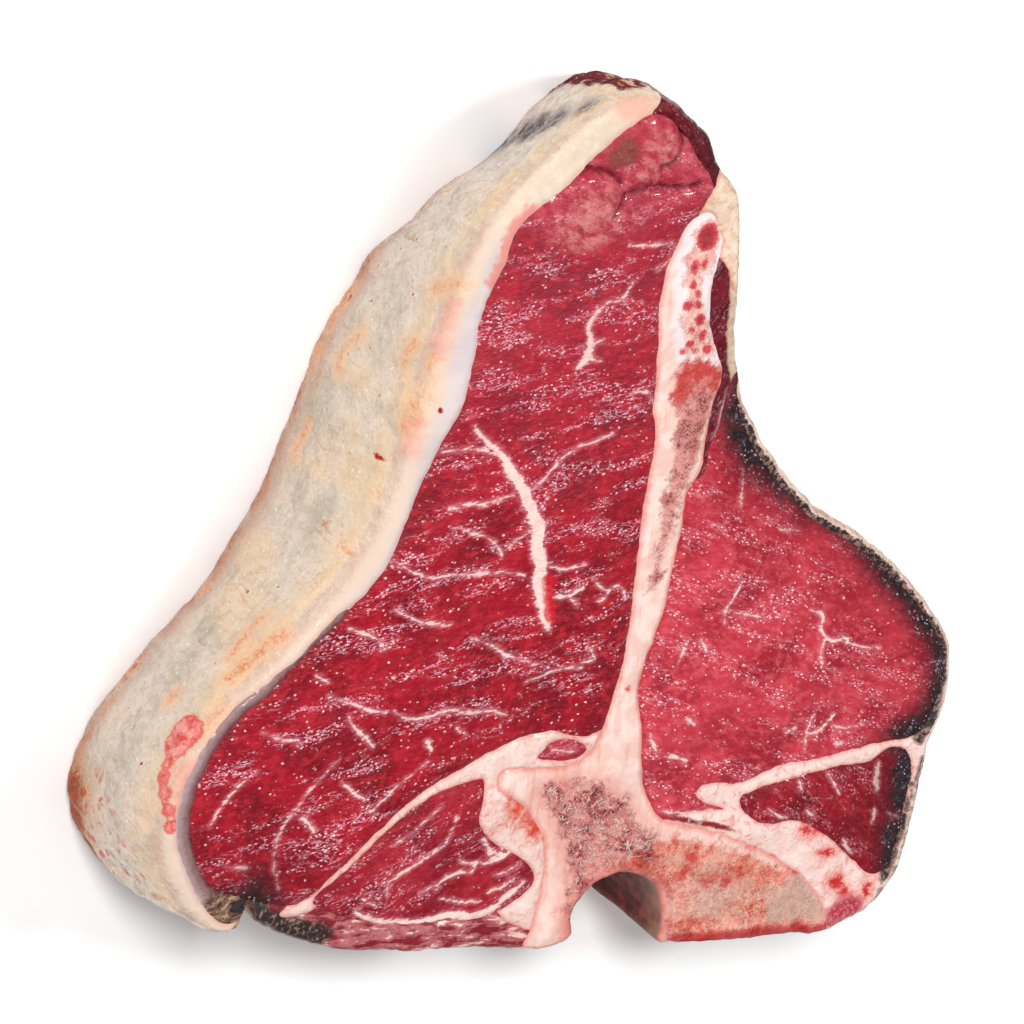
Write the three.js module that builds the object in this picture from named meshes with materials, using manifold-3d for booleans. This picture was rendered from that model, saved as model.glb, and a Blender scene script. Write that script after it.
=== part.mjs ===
// A raw dry-aged porterhouse steak, lying on one cut face with the other one up.
// Millimetres, +Z up. +X runs along the sawn face of the backbone, +Y along the rib-like process of the bone.
// Bone, muscles, fat and silverskin all run through the whole thickness, as the saw and the knife left them.
import * as THREE from "three";
import { mergeVertices } from "three/addons/utils/BufferGeometryUtils.js";
import Module from "manifold-3d";

const wasm = await Module();
wasm.setup();

// Driving dimensions
const thickness = 46; // between the two cut faces
const seamGap = 0.35; // between one piece and the next
const planCentre = [37, -5.8]; // the middle of the steak in the plan that the outlines are drawn in
const faceStep = 8; // grid of the wavy cut face
const footRadius = 1.6; // rounding where the side meets the lower cut face
const clear = 8; // how far a cutter reaches past what it cuts
const sideLevels = 5; // rows of faces up the straight part of the side
const shoulderTurns = [0, 30, 60, 90].map(THREE.MathUtils.degToRad); // rows of faces round the upper edge

// The rim of the upper cut face, counter-clockwise from the cleft at the lower left.
// Each knot is [x, y, leanX, leanY, shoulder]: lean is how far the lower face lies from the upper one there,
// and shoulder is the radius at which the face turns over into the side.
const chineEdge = [
  [-41.2, -99.6, 0, -0.5, 1],
  [-31, -105, 0, -0.5, 1.2],
  [-14, -108.6, 0, 0, 1.2],
  [10, -108.5, 0, 0.5, 1],
  [32, -108, 0, 0.5, 0.8],
  [44.5, -107.3, 0, 0.7, 0.6],
  [48, -104.6, 0, 0.7, 0.6],
];
const canal = { x: 60.3, y: -101.5, rx: 14, ry: 13.4, lean: 0.7, shoulder: 0.6, from: 172, to: 12, knots: 6 };
const vertebraEdge = [
  [75.4, -103.5, 0.3, 0.7, 0.5],
  [75.6, -106.9, 0.3, 0.7, 0.5],
  [79, -106.7, 0.3, 0.7, 0.5],
  [100, -105.6, 0, 0.7, 0.5],
  [123, -104.3, -0.5, 0.7, 0.6],
  [127.5, -103.6, -1, 0.7, 1],
];
const tenderloinEdge = [
  [134.5, -99.6, -1, 0.7, 1],
  [142, -94.2, -1, 0.5, 1.2],
  [146.2, -82.5, -1, 0, 1.2],
  [145.8, -69, -1, 0, 1.2],
  [142.8, -53, -0.5, 0, 1.2],
  [145.2, -37, -1, -0.5, 1.2],
  [140.3, -24, -1, -1, 1.2],
  [124.4, -10.7, -1, -1, 1.2],
  [105.2, 0.3, -0.5, -1, 1.2],
  [85.2, 8.1, 0, -0.5, 1.2],
  [70.4, 18, 0, 0, 1.2],
  [59, 29, 0, 0, 1.2],
  [50.7, 42.8, 0, 0, 1.2],
  [46.2, 57.5, 0.5, 0, 1.2],
];
const tipEdge = [
  [42.4, 71, 1, 0, 1.2],
  [38.4, 80, 1.5, -1, 1.2],
  [32.2, 84, 3, -2, 1.2],
  [25.6, 91.4, 6, -3, 1.2],
  [11.5, 97.6, 10, -4, 2],
];
const fatEdge = [
  [0, 94.6, 16, -6, 3],
  [-14, 81.5, 18, -10, 4],
  [-25, 64, 13, -6, 4.5],
  [-29.5, 44, 3, -2, 4.5],
  [-30.5, 22, -3, 0, 4.5],
  [-32, 0, -5, 0, 4.5],
  [-38.3, -19.5, -3, -1, 4.5],
  [-50.5, -37, 1.5, -3, 4.2],
  [-62.5, -53, 2.5, -4, 4],
  [-69.3, -69.5, 1, -4, 4],
  [-68.6, -84, -2, -5, 4],
  [-59.5, -98.3, -3, -5, 3.4],
  [-49.3, -104, -1.5, -3.5, 2.2],
  [-45, -102.3, -0.3, -1.5, 1.2],
  [-43, -95.2, 0, 0.5, 0.5],
];
const fatShoulder = 2.4; // a wider shoulder than this is the soft fat cap's
const fatBulge = 2.4; // how far the fat cap's side swells at half height, beyond its lean
const fatLump = 0.6; // height of the lumps in the fat cap's side
const leanReach = 14; // how far a knot's lean holds before its neighbours blend in
const rimPerSpan = 3; // rim samples between one knot and the next

// What lies where on the cut face, as closed outlines. A later one covers the earlier ones where they
// overlap, so an outline is exact only along the seams that no later piece covers.
const outlines = {
  tip_fat: [
    [28, 92], [29, 74], [34, 70], [38, 62], [43.4, 61], [44.6, 56.5], [56, 57], [56, 92],
  ],
  outer_fat: [
    [48, 40], [52, 0], [52, -100], [125, -122], [160, -120], [160, 10], [80, 60], [56, 50],
  ],
  cap_muscle: [
    [8.5, 112], [11.6, 97.5], [10.2, 93.8], [16, 82], [28, 72], [31.2, 79.2], [31.9, 84.2],
    [40, 100],
  ],
  fat_cap: [
    [8.5, 112], [11.6, 97.5], [10.2, 93.8], [4, 76], [0, 20], [-20, -60], [-42.5, -88],
    [-43.2, -120], [-90, -120], [-90, 112],
  ],
  silverskin: [
    [-36.4, -25.5], [-45.5, -37.4], [-55.5, -46.6], [-62.6, -58], [-66.7, -70.5], [-65.3, -82],
    [-58.6, -92.4], [-51, -100.6], [-45.8, -100.6], [-42.6, -94], [-46, -84], [-50, -70],
    [-42, -50], [-32, -32],
  ],
  chine_trim: [
    [-43, -93], [-30, -94], [0, -96], [36, -96], [38, -120], [-43, -120],
  ],
  seam_fat: [
    [-34, -100], [-27, -90], [2, -60], [22, -47], [43, -46], [44, -62], [42, -101.5], [30, -101.8],
    [22, -97], [0, -92], [-20, -92], [-27, -99.2],
  ],
  strip_loin: [
    [10.2, 93.8], [1, 85.5], [-10, 72.5], [-17.3, 64], [-18.6, 56], [-20.8, 44], [-20, 27],
    [-24.5, 5], [-28.5, -11], [-36, -26], [-47.5, -41], [-57.8, -54], [-63.2, -68], [-61.8, -81.5],
    [-54.5, -92.3], [-46, -95.3], [-37, -97], [-29.5, -96.6], [-23, -89.3], [-9, -73.3], [4, -62.8],
    [14, -56.8], [27, -52.6], [38, -53.2], [44, -48], [42, 0], [34, 40], [29.5, 68], [30.6, 75.5],
    [31.2, 79.2], [25.5, 85.5], [17, 92.2],
  ],
  slip_muscle: [
    [25.2, -59.2], [28.1, -55.6], [31.9, -54.4], [35.8, -55], [38.7, -57], [36.5, -59.2], [31.9, -60.1],
    [27.3, -59.9],
  ],
  chine_muscle: [
    [11, -64.9], [2, -67.9], [-8, -75.2], [-20, -88.2], [-26.4, -96.2], [-20, -99.3], [-5, -101.6],
    [10, -101.2], [23, -99.4], [30, -95], [33, -90], [29, -85.3], [19.5, -81.2], [13.6, -76.5],
    [12, -69.5],
  ],
  tenderloin: [
    [52.3, 38], [51.5, 30], [50.3, 20], [44, 8], [44, -40], [52, -66], [62, -74.4], [72, -72.2],
    [84.6, -71.4], [78.6, -70], [74.6, -67.6], [76, -65.3], [88, -64.3], [98, -59], [110, -56.5],
    [126, -52.8], [138.4, -49], [141.6, -42], [142.3, -35], [139.6, -27.6], [133, -20.2],
    [119.6, -10.7], [104, -2.4], [85, 5.1], [75.3, 10.8], [66, 18], [58.3, 26], [54.3, 33.6],
  ],
  psoas_minor: [
    [88.8, -68.8], [93, -66], [103, -62], [114, -59], [126, -57.6], [130.5, -53.8], [136, -53.5],
    [139.6, -58.5], [141.8, -68], [142.9, -77], [141.8, -86], [137, -87.6], [130, -84.5],
    [120, -78.3], [108, -73.7], [95, -74],
  ],
  rib_muscle: [
    [38, 64], [42.5, 60.8], [44.4, 57], [51, 57.6], [54.5, 40.6], [51.9, 37], [51.4, 30],
    [50.3, 20], [50, 13], [44, 12], [42, 36], [36, 56],
  ],
  t_bone: [
    [33, 73.6], [28.3, 71], [26, 63], [25.3, 52], [28.5, 38], [33, 22], [36.3, 4], [39.5, -15],
    [41.5, -30], [41.3, -48], [40, -57.4], [35, -61.2], [24, -61.8], [15.6, -62.8], [15.6, -66.6],
    [24, -71], [32, -79], [35.3, -87], [35.7, -98], [36.4, -118], [129, -118], [127.2, -103],
    [122.5, -95.6], [113, -88], [98, -81.5], [80, -76.6], [66, -73.8], [59, -67.5], [54.5, -59],
    [51.5, -49.5], [48.5, -40], [49.7, -22], [48.6, -2], [47, 8], [49.2, 16], [47.7, 26],
    [48.6, 36.5], [45.5, 42.5], [41, 48.5], [38.7, 58], [38.4, 68],
  ],
};
const outlineStep = 4.2; // longest stretch between two points of an outline

// The wavy cut face: broad swells, and the torn and folded end of the strip loin.
const swells = [
  { across: 47, along: 61, turn: 0.4, rise: 0.5 },
  { across: -83, along: 38, turn: 2.1, rise: 0.35 },
  { across: 29, along: -33, turn: 4.0, rise: 0.25 },
];
const folds = [
  { x: -2, y: 83, reach: 7, rise: -1.1 },
  { x: 13, y: 86, reach: 9, rise: 0.9 },
  { x: 16, y: 76, reach: 5, rise: -1.2 },
  { x: 2, y: 73, reach: 8, rise: 0.7 },
];

const finishes = {
  t_bone: { color: 0xdcc3ab, roughness: 0.55 },
  strip_loin: { color: 0x9c1f30, roughness: 0.4 },
  tenderloin: { color: 0xa82a37, roughness: 0.4 },
  chine_muscle: { color: 0x962434, roughness: 0.4 },
  slip_muscle: { color: 0x9a2233, roughness: 0.4 },
  psoas_minor: { color: 0x7c1526, roughness: 0.4 },
  rib_muscle: { color: 0x55101c, roughness: 0.45 },
  cap_muscle: { color: 0x6d1f26, roughness: 0.5 },
  fat_cap: { color: 0xdccfb8, roughness: 0.5 },
  silverskin: { color: 0x8f7079, roughness: 0.35 },
  tip_fat: { color: 0xe6cdb4, roughness: 0.5 },
  seam_fat: { color: 0xe3bcae, roughness: 0.45 },
  outer_fat: { color: 0xd9b5a0, roughness: 0.5 },
  chine_trim: { color: 0xa8645a, roughness: 0.5 },
};

// A closed smooth curve through knots of any length, with the same number of samples in each span.
function smoothLoop(knots, perSpan) {
  const plan = knots.map(([x, y]) => new THREE.Vector3(x, y, 0));
  const curve = new THREE.CatmullRomCurve3(plan, true, "centripetal");
  const count = knots.length;
  return Array.from({ length: count * perSpan }, (_, i) => {
    const at = curve.getPoint(i / (count * perSpan));
    const from = knots[Math.floor(i / perSpan)];
    const to = knots[(Math.floor(i / perSpan) + 1) % count];
    const share = (i % perSpan) / perSpan;
    const ease = share * share * (3 - 2 * share);
    const rest = from.slice(2).map((value, k) => value + (to[k + 2] - value) * ease);
    return [at.x, at.y, ...rest];
  });
}

// The plain polygon of one outline, with more points where its knots lie far apart.
function outlinePolygon(knots) {
  const plan = knots.map(([x, y]) => new THREE.Vector3(x, y, 0));
  const curve = new THREE.CatmullRomCurve3(plan, true, "centripetal");
  const polygon = [];
  knots.forEach(([x, y], i) => {
    const [nextX, nextY] = knots[(i + 1) % knots.length];
    const parts = Math.max(1, Math.min(4, Math.round(Math.hypot(nextX - x, nextY - y) / outlineStep)));
    for (let k = 0; k < parts; k++) {
      const at = curve.getPoint((i + k / parts) / knots.length);
      polygon.push(new THREE.Vector2(at.x, at.y));
    }
  });
  return polygon;
}

// Outward normals of a closed counter-clockwise polygon, one for each point.
function outwardNormals(points) {
  return points.map((_, i) => {
    const before = points[(i + points.length - 1) % points.length];
    const after = points[(i + 1) % points.length];
    return new THREE.Vector2(after[1] - before[1], before[0] - after[0]).normalize();
  });
}

function grown(polygon, distance) {
  const side = THREE.ShapeUtils.isClockWise(polygon) ? -1 : 1;
  return polygon.map((point, i) => {
    const before = point.clone().sub(polygon[(i + polygon.length - 1) % polygon.length]).normalize();
    const after = polygon[(i + 1) % polygon.length].clone().sub(point).normalize();
    const out = new THREE.Vector2(before.y + after.y, -before.x - after.x).normalize();
    const squareness = Math.max(0.5, out.x * before.y - out.y * before.x);
    return point.clone().addScaledVector(out, (distance * side) / squareness);
  });
}

function solidFrom(positions, triangles) {
  const geometry = new THREE.BufferGeometry();
  geometry.setAttribute("position", new THREE.Float32BufferAttribute(positions, 3));
  geometry.setIndex(triangles);
  return solidOf(geometry);
}

function solidOf(geometry) {
  geometry.deleteAttribute("normal");
  geometry.deleteAttribute("uv");
  const merged = mergeVertices(geometry, 1e-4);
  const mesh = new wasm.Mesh({
    numProp: 3,
    vertProperties: new Float32Array(merged.attributes.position.array),
    triVerts: new Uint32Array(merged.index.array),
  });
  return new wasm.Manifold(mesh);
}

function canalKnots() {
  return Array.from({ length: canal.knots }, (_, i) => {
    const angle = THREE.MathUtils.degToRad(canal.from + ((canal.to - canal.from) * i) / (canal.knots - 1));
    const x = canal.x + canal.rx * Math.cos(angle);
    const y = canal.y + canal.ry * Math.sin(angle);
    return [x, y, 0, canal.lean, canal.shoulder];
  });
}

const rimKnots = [...chineEdge, ...canalKnots(), ...vertebraEdge, ...tenderloinEdge, ...tipEdge, ...fatEdge];

// How far the lower face lies from the upper one near (x, y): the saw went through a little askew.
function leanAt(x, y) {
  let total = 0;
  const lean = new THREE.Vector2();
  for (const [knotX, knotY, leanX, leanY] of rimKnots) {
    const weight = 1 / (leanReach ** 2 + (x - knotX) ** 2 + (y - knotY) ** 2) ** 2;
    total += weight;
    lean.addScaledVector(new THREE.Vector2(leanX, leanY), weight);
  }
  return lean.divideScalar(total);
}

function fatSwell(x, y, z) {
  const lump = Math.sin(x / 4.1 + z / 6.5) * Math.cos(y / 5.3 - z / 9);
  return fatBulge * Math.sin((Math.PI * z) / thickness) + fatLump * lump;
}

// The outside of the steak: rings of the rim, from the lower face up over the shoulder and past the upper face.
function sideShell() {
  const rim = smoothLoop(rimKnots.map(([x, y, , , shoulder]) => [x, y, shoulder]), rimPerSpan);
  const normals = outwardNormals(rim);
  // Each level gives a height and a way outwards from the rim, for the shoulder radius there.
  const levels = [
    (shoulder) => [0, -Math.min(footRadius, shoulder / 2)],
    () => [footRadius, 0],
  ];
  for (let i = 1; i < sideLevels; i++) {
    const z = (thickness * i) / sideLevels;
    levels.push((shoulder, x, y) => [z, shoulder > fatShoulder ? fatSwell(x, y, z) : 0]);
  }
  for (const turn of shoulderTurns) {
    const [drop, inset] = [1 - Math.sin(turn), 1 - Math.cos(turn)];
    levels.push((shoulder) => [thickness - shoulder * drop, -shoulder * inset]);
  }
  levels.push((shoulder) => [thickness + clear, -shoulder]);
  const positions = [];
  for (const level of levels) {
    rim.forEach(([x, y, shoulder], i) => {
      const [z, out] = level(shoulder, x, y);
      positions.push(x + normals[i].x * out, y + normals[i].y * out, z);
    });
  }
  const count = rim.length;
  const triangles = [];
  for (let ring = 0; ring + 1 < levels.length; ring++) {
    for (let i = 0; i < count; i++) {
      const next = (i + 1) % count;
      const [a, b] = [ring * count + i, ring * count + next];
      const [c, d] = [b + count, a + count];
      triangles.push(a, b, c, a, c, d);
    }
  }
  for (const [ring, up] of [[0, false], [levels.length - 1, true]]) {
    const flat = rim.map((_, i) => {
      const at = (ring * count + i) * 3;
      return new THREE.Vector2(positions[at], positions[at + 1]);
    });
    for (const [a, b, c] of THREE.ShapeUtils.triangulateShape(flat, [])) {
      const corners = [ring * count + a, ring * count + b, ring * count + c];
      triangles.push(...(up ? corners : corners.reverse()));
    }
  }
  return solidFrom(positions, triangles);
}

function faceHeight(x, y) {
  let height = thickness;
  for (const { across, along, turn, rise } of swells) {
    height += rise * Math.sin(2 * Math.PI * (x / across + y / along) + turn);
  }
  for (const fold of folds) {
    const distance = Math.hypot(x - fold.x, y - fold.y) / fold.reach;
    height += fold.rise * Math.exp(-distance * distance);
  }
  return height;
}

// A block with a wavy top, wider than the steak.
function faceBlock() {
  const box = { left: -84, right: 156, front: -120, back: 108 };
  const columns = Math.round((box.right - box.left) / faceStep);
  const rows = Math.round((box.back - box.front) / faceStep);
  const positions = [];
  for (const top of [false, true]) {
    for (let j = 0; j <= rows; j++) {
      for (let i = 0; i <= columns; i++) {
        const x = box.left + ((box.right - box.left) * i) / columns;
        const y = box.front + ((box.back - box.front) * j) / rows;
        positions.push(x, y, top ? faceHeight(x, y) : -clear);
      }
    }
  }
  const layer = (columns + 1) * (rows + 1);
  const triangles = [];
  const quad = (a, b, c, d) => triangles.push(a, b, c, a, c, d);
  for (let j = 0; j < rows; j++) {
    for (let i = 0; i < columns; i++) {
      const a = j * (columns + 1) + i;
      const [b, c, d] = [a + 1, a + columns + 2, a + columns + 1];
      quad(layer + a, layer + b, layer + c, layer + d);
      quad(a, d, c, b);
    }
  }
  const walk = [];
  for (let i = 0; i < columns; i++) walk.push(i);
  for (let j = 0; j < rows; j++) walk.push(j * (columns + 1) + columns);
  for (let i = columns; i > 0; i--) walk.push(rows * (columns + 1) + i);
  for (let j = rows; j > 0; j--) walk.push(j * (columns + 1));
  walk.forEach((a, i) => {
    const b = walk[(i + 1) % walk.length];
    quad(a, b, layer + b, layer + a);
  });
  return solidFrom(positions, triangles);
}

function prism(polygon) {
  const shape = new THREE.Shape(polygon);
  const geometry = new THREE.ExtrudeGeometry(shape, { depth: thickness + 2 * clear, bevelEnabled: false });
  geometry.translate(0, 0, -clear);
  return solidOf(geometry);
}

// The largest single body of a solid: a sliver that a cut leaves behind is dropped.
function mainBody(solid) {
  return solid.decompose().reduce((best, body) => (body.volume() > best.volume() ? body : best));
}

function meshOf(name, solid) {
  const { vertProperties, triVerts } = solid.getMesh();
  const points = new Float32Array(vertProperties);
  for (let i = 0; i < points.length; i += 3) {
    const lean = leanAt(points[i], points[i + 1]).multiplyScalar(1 - points[i + 2] / thickness);
    points[i] += lean.x;
    points[i + 1] += lean.y;
  }
  const geometry = new THREE.BufferGeometry();
  geometry.setAttribute("position", new THREE.BufferAttribute(points, 3));
  geometry.setIndex(new THREE.BufferAttribute(new Uint32Array(triVerts), 1));
  geometry.computeVertexNormals();
  const mesh = new THREE.Mesh(geometry, new THREE.MeshStandardMaterial({ ...finishes[name], metalness: 0 }));
  mesh.name = name;
  return mesh;
}

function buildSteak() {
  const whole = sideShell().intersect(faceBlock());
  const names = Object.keys(outlines);
  const polygons = names.map((name) => outlinePolygon(outlines[name]));
  const steak = new THREE.Group();
  names.forEach((name, i) => {
    let piece = whole.intersect(prism(polygons[i]));
    for (const cover of polygons.slice(i + 1)) {
      piece = piece.subtract(prism(cover)).subtract(prism(grown(cover, seamGap)));
    }
    steak.add(meshOf(name, mainBody(piece)));
  });
  steak.position.set(-planCentre[0], -planCentre[1], 0);
  return steak;
}

export default buildSteak();
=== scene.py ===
import math

import bpy
import numpy as np
from mathutils import Matrix, Vector, noise
from mathutils.geometry import delaunay_2d_cdt


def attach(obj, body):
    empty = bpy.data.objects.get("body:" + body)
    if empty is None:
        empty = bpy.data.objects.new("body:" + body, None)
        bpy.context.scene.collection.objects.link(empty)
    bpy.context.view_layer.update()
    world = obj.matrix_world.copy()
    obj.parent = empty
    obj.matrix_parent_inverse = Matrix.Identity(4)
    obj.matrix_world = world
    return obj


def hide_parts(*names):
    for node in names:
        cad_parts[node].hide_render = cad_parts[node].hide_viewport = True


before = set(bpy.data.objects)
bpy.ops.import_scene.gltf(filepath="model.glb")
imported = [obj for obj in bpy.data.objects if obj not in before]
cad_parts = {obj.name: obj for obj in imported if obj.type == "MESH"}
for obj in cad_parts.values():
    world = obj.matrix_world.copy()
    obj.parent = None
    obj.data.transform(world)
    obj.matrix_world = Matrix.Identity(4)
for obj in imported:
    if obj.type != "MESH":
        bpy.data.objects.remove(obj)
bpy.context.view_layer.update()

# ----------------------------------------------------------------------------------------------------------
# The slice: a loin of beef sawn across, 46 mm thick. All the pieces run from one cut face to the other, and
# meet along seams. The outlines lie in the plan of the upper cut face, in mm: x along the sawn face of the
# backbone, y along the rib-like process of the bone. Where outlines overlap, the later one covers.

thickness = 46.0
plan_centre = np.array([37.0, -5.8])
seam_step = 0.9  # mm between the points of an outline
foot_radius = 1.6

# Knots of the rim: x, y, how far the lower face lies from the upper one there, and the shoulder's radius.
chine_edge = [
    (-41.2, -99.6, 0, -0.5, 1), (-31, -105, 0, -0.5, 1.2), (-14, -108.6, 0, 0, 1.2),
    (10, -108.5, 0, 0.5, 1), (32, -108, 0, 0.5, 0.8), (44.5, -107.3, 0, 0.7, 0.6),
    (48, -104.6, 0, 0.7, 0.6),
]
canal_middle, canal_radii = (60.3, -101.5), (14.0, 13.4)
canal_edge = [
    (canal_middle[0] + canal_radii[0] * math.cos(turn),
     canal_middle[1] + canal_radii[1] * math.sin(turn), 0, 0.7, 0.6)
    for turn in (math.radians(172 - 32 * i) for i in range(6))
]
vertebra_edge = [
    (75.4, -103.5, 0.3, 0.7, 0.5), (75.6, -106.9, 0.3, 0.7, 0.5), (79, -106.7, 0.3, 0.7, 0.5),
    (100, -105.6, 0, 0.7, 0.5), (123, -104.3, -0.5, 0.7, 0.6), (127.5, -103.6, -1, 0.7, 1),
]
fillet_edge = [
    (134.5, -99.6, -1, 0.7, 1), (142, -94.2, -1, 0.5, 1.2), (146.2, -82.5, -1, 0, 1.2),
    (145.8, -69, -1, 0, 1.2), (142.8, -53, -0.5, 0, 1.2), (145.2, -37, -1, -0.5, 1.2),
    (140.3, -24, -1, -1, 1.2), (124.4, -10.7, -1, -1, 1.2), (105.2, 0.3, -0.5, -1, 1.2),
    (85.2, 8.1, 0, -0.5, 1.2), (70.4, 18, 0, 0, 1.2), (59, 29, 0, 0, 1.2), (50.7, 42.8, 0, 0, 1.2),
    (46.2, 57.5, 0.5, 0, 1.2),
]
tip_edge = [
    (42.4, 71, 1, 0, 1.2), (38.4, 80, 1.5, -1, 1.2), (32.2, 84, 3, -2, 1.2), (25.6, 91.4, 6, -3, 1.2),
    (11.5, 97.6, 10, -4, 2),
]
fat_edge = [
    (0, 94.6, 16, -6, 3), (-14, 81.5, 18, -10, 4), (-25, 64, 13, -6, 4.5), (-29.5, 44, 3, -2, 4.5),
    (-30.5, 22, -3, 0, 4.5), (-32, 0, -5, 0, 4.5), (-38.3, -19.5, -3, -1, 4.5), (-50.5, -37, 1.5, -3, 4.2),
    (-62.5, -53, 2.5, -4, 4), (-69.3, -69.5, 1, -4, 4), (-68.6, -84, -2, -5, 4),
    (-59.5, -98.3, -3, -5, 3.4), (-49.3, -104, -1.5, -3.5, 2.2), (-45, -102.3, -0.3, -1.5, 1.2),
    (-43, -95.2, 0, 0.5, 0.5),
]
rim_knots = np.array(chine_edge + canal_edge + vertebra_edge + fillet_edge + tip_edge + fat_edge, float)
firm_shoulder, fat_shoulder = 1.2, 2.4  # where the side is straight, and where it is soft fat
round_shoulder = 1.1  # a wider shoulder than this gets rows of points of its own
fat_bulge = 2.4
lean_reach = 14.0

outlines = {
    "tip_fat": [(28, 92), (29, 74), (34, 70), (38, 62), (43.4, 61), (44.6, 56.5), (56, 57), (56, 92)],
    "outer_fat": [(48, 40), (52, 0), (52, -100), (125, -122), (160, -120), (160, 10), (80, 60), (56, 50)],
    "cap_muscle": [
        (8.5, 112), (11.6, 97.5), (10.2, 93.8), (16, 82), (28, 72), (31.2, 79.2), (31.9, 84.2), (40, 100),
    ],
    "fat_cap": [
        (8.5, 112), (11.6, 97.5), (10.2, 93.8), (4, 76), (0, 20), (-20, -60), (-42.5, -88), (-43.2, -120),
        (-90, -120), (-90, 112),
    ],
    "silverskin": [
        (-36.4, -25.5), (-45.5, -37.4), (-55.5, -46.6), (-62.6, -58), (-66.7, -70.5), (-65.3, -82),
        (-58.6, -92.4), (-51, -100.6), (-45.8, -100.6), (-42.6, -94), (-46, -84), (-50, -70), (-42, -50),
        (-32, -32),
    ],
    "chine_trim": [(-43, -93), (-30, -94), (0, -96), (36, -96), (38, -120), (-43, -120)],
    "seam_fat": [
        (-34, -100), (-27, -90), (2, -60), (22, -47), (43, -46), (44, -62), (42, -101.5), (30, -101.8),
        (22, -97), (0, -92), (-20, -92), (-27, -99.2),
    ],
    "strip_loin": [
        (10.2, 93.8), (1, 85.5), (-10, 72.5), (-17.3, 64), (-18.6, 56), (-20.8, 44), (-20, 27), (-24.5, 5),
        (-28.5, -11), (-36, -26), (-47.5, -41), (-57.8, -54), (-63.2, -68), (-61.8, -81.5), (-54.5, -92.3),
        (-46, -95.3), (-37, -97), (-29.5, -96.6), (-23, -89.3), (-9, -73.3), (4, -62.8), (14, -56.8),
        (27, -52.6), (38, -53.2), (44, -48), (42, 0), (34, 40), (29.5, 68), (30.6, 75.5), (31.2, 79.2),
        (25.5, 85.5), (17, 92.2),
    ],
    "slip_muscle": [
        (25.2, -59.2), (28.1, -55.6), (31.9, -54.4), (35.8, -55), (38.7, -57), (36.5, -59.2), (31.9, -60.1),
        (27.3, -59.9),
    ],
    "chine_muscle": [
        (11, -64.9), (2, -67.9), (-8, -75.2), (-20, -88.2), (-26.4, -96.2), (-20, -99.3), (-5, -101.6),
        (10, -101.2), (23, -99.4), (30, -95), (33, -90), (29, -85.3), (19.5, -81.2), (13.6, -76.5),
        (12, -69.5),
    ],
    "tenderloin": [
        (52.3, 38), (51.5, 30), (50.3, 20), (44, 8), (44, -40), (52, -66), (62, -74.4), (72, -72.2),
        (84.6, -71.4), (78.6, -70), (74.6, -67.6), (76, -65.3), (88, -64.3), (98, -59), (110, -56.5),
        (126, -52.8), (138.4, -49), (141.6, -42), (142.3, -35), (139.6, -27.6), (133, -20.2),
        (119.6, -10.7), (104, -2.4), (85, 5.1), (75.3, 10.8), (66, 18), (58.3, 26), (54.3, 33.6),
    ],
    "psoas_minor": [
        (88.8, -68.8), (93, -66), (103, -62), (114, -59), (126, -57.6), (130.5, -53.8), (136, -53.5),
        (139.6, -58.5), (141.8, -68), (142.9, -77), (141.8, -86), (137, -87.6), (130, -84.5), (120, -78.3),
        (108, -73.7), (95, -74),
    ],
    "rib_muscle": [
        (38, 64), (42.5, 60.8), (44.4, 57), (51, 57.6), (54.5, 40.6), (51.9, 37), (51.4, 30), (50.3, 20),
        (50, 13), (44, 12), (42, 36), (36, 56),
    ],
    "t_bone": [
        (33, 73.6), (28.3, 71), (26, 63), (25.3, 52), (28.5, 38), (33, 22), (36.3, 4), (39.5, -15),
        (41.5, -30), (41.3, -48), (40, -57.4), (35, -61.2), (24, -61.8), (15.6, -62.8), (15.6, -66.6),
        (24, -71), (32, -79), (35.3, -87), (35.7, -98), (36.4, -118), (129, -118), (127.2, -103),
        (122.5, -95.6), (113, -88), (98, -81.5), (80, -76.6), (66, -73.8), (59, -67.5), (54.5, -59),
        (51.5, -49.5), (48.5, -40), (49.7, -22), (48.6, -2), (47, 8), (49.2, 16), (47.7, 26), (48.6, 36.5),
        (45.5, 42.5), (41, 48.5), (38.7, 58), (38.4, 68),
    ],
}


def smooth_curve(knots, step, closed=True):
    """Points about every step mm on a smooth curve through the knots; further columns are eased along."""
    knots = np.asarray(knots, float)
    count = len(knots)
    rows = []
    for i in range(count if closed else count - 1):
        around = knots[[(i + k) % count if closed else min(max(i + k, 0), count - 1) for k in (-1, 0, 1, 2)]]
        spans = [max(math.dist(a[:2], b[:2]) ** 0.5, 1e-3) for a, b in zip(around, around[1:])]
        before, start, end, after = [knot[:2] for knot in around]
        leave = (start - before) / spans[0] - (end - before) / (spans[0] + spans[1])
        leave += (end - start) / spans[1]
        arrive = (end - start) / spans[1] - (after - start) / (spans[1] + spans[2]) + (after - end) / spans[2]
        parts = max(1, round(math.dist(start, end) / step))
        t = np.arange(parts)[:, None] / parts
        ease = t * t * (3 - 2 * t)
        bend = leave * t * (1 - t) ** 2 - arrive * t * t * (1 - t)
        place = start + (end - start) * ease + spans[1] * bend
        rows.append(np.hstack([place, around[1][2:] + (around[2][2:] - around[1][2:]) * ease]))
    if not closed:
        rows.append(knots[-1:])
    return np.vstack(rows)


def crag(points, size, seed=0.0):
    """Smooth noise from -1 to 1, with lumps of about the given size in mm."""
    spots = np.zeros((len(points), 3))
    spots[:, : points.shape[1]] = points / size
    spots[:, 2] += seed
    return np.array([noise.noise(Vector(spot)) for spot in spots])


ragged_seeds = (3.3, 17.7)  # one for each way across the plan


def ragged(points):
    """The plan's points, moved a little each way, as no knife or seam runs smooth."""
    shift = [0.5 * crag(points, 6.0, seed) + 0.3 * crag(points, 1.9, seed) for seed in ragged_seeds]
    return points + np.stack(shift, 1)


pairs_at_once = 2000000  # of points and segments, to spare memory


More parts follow.
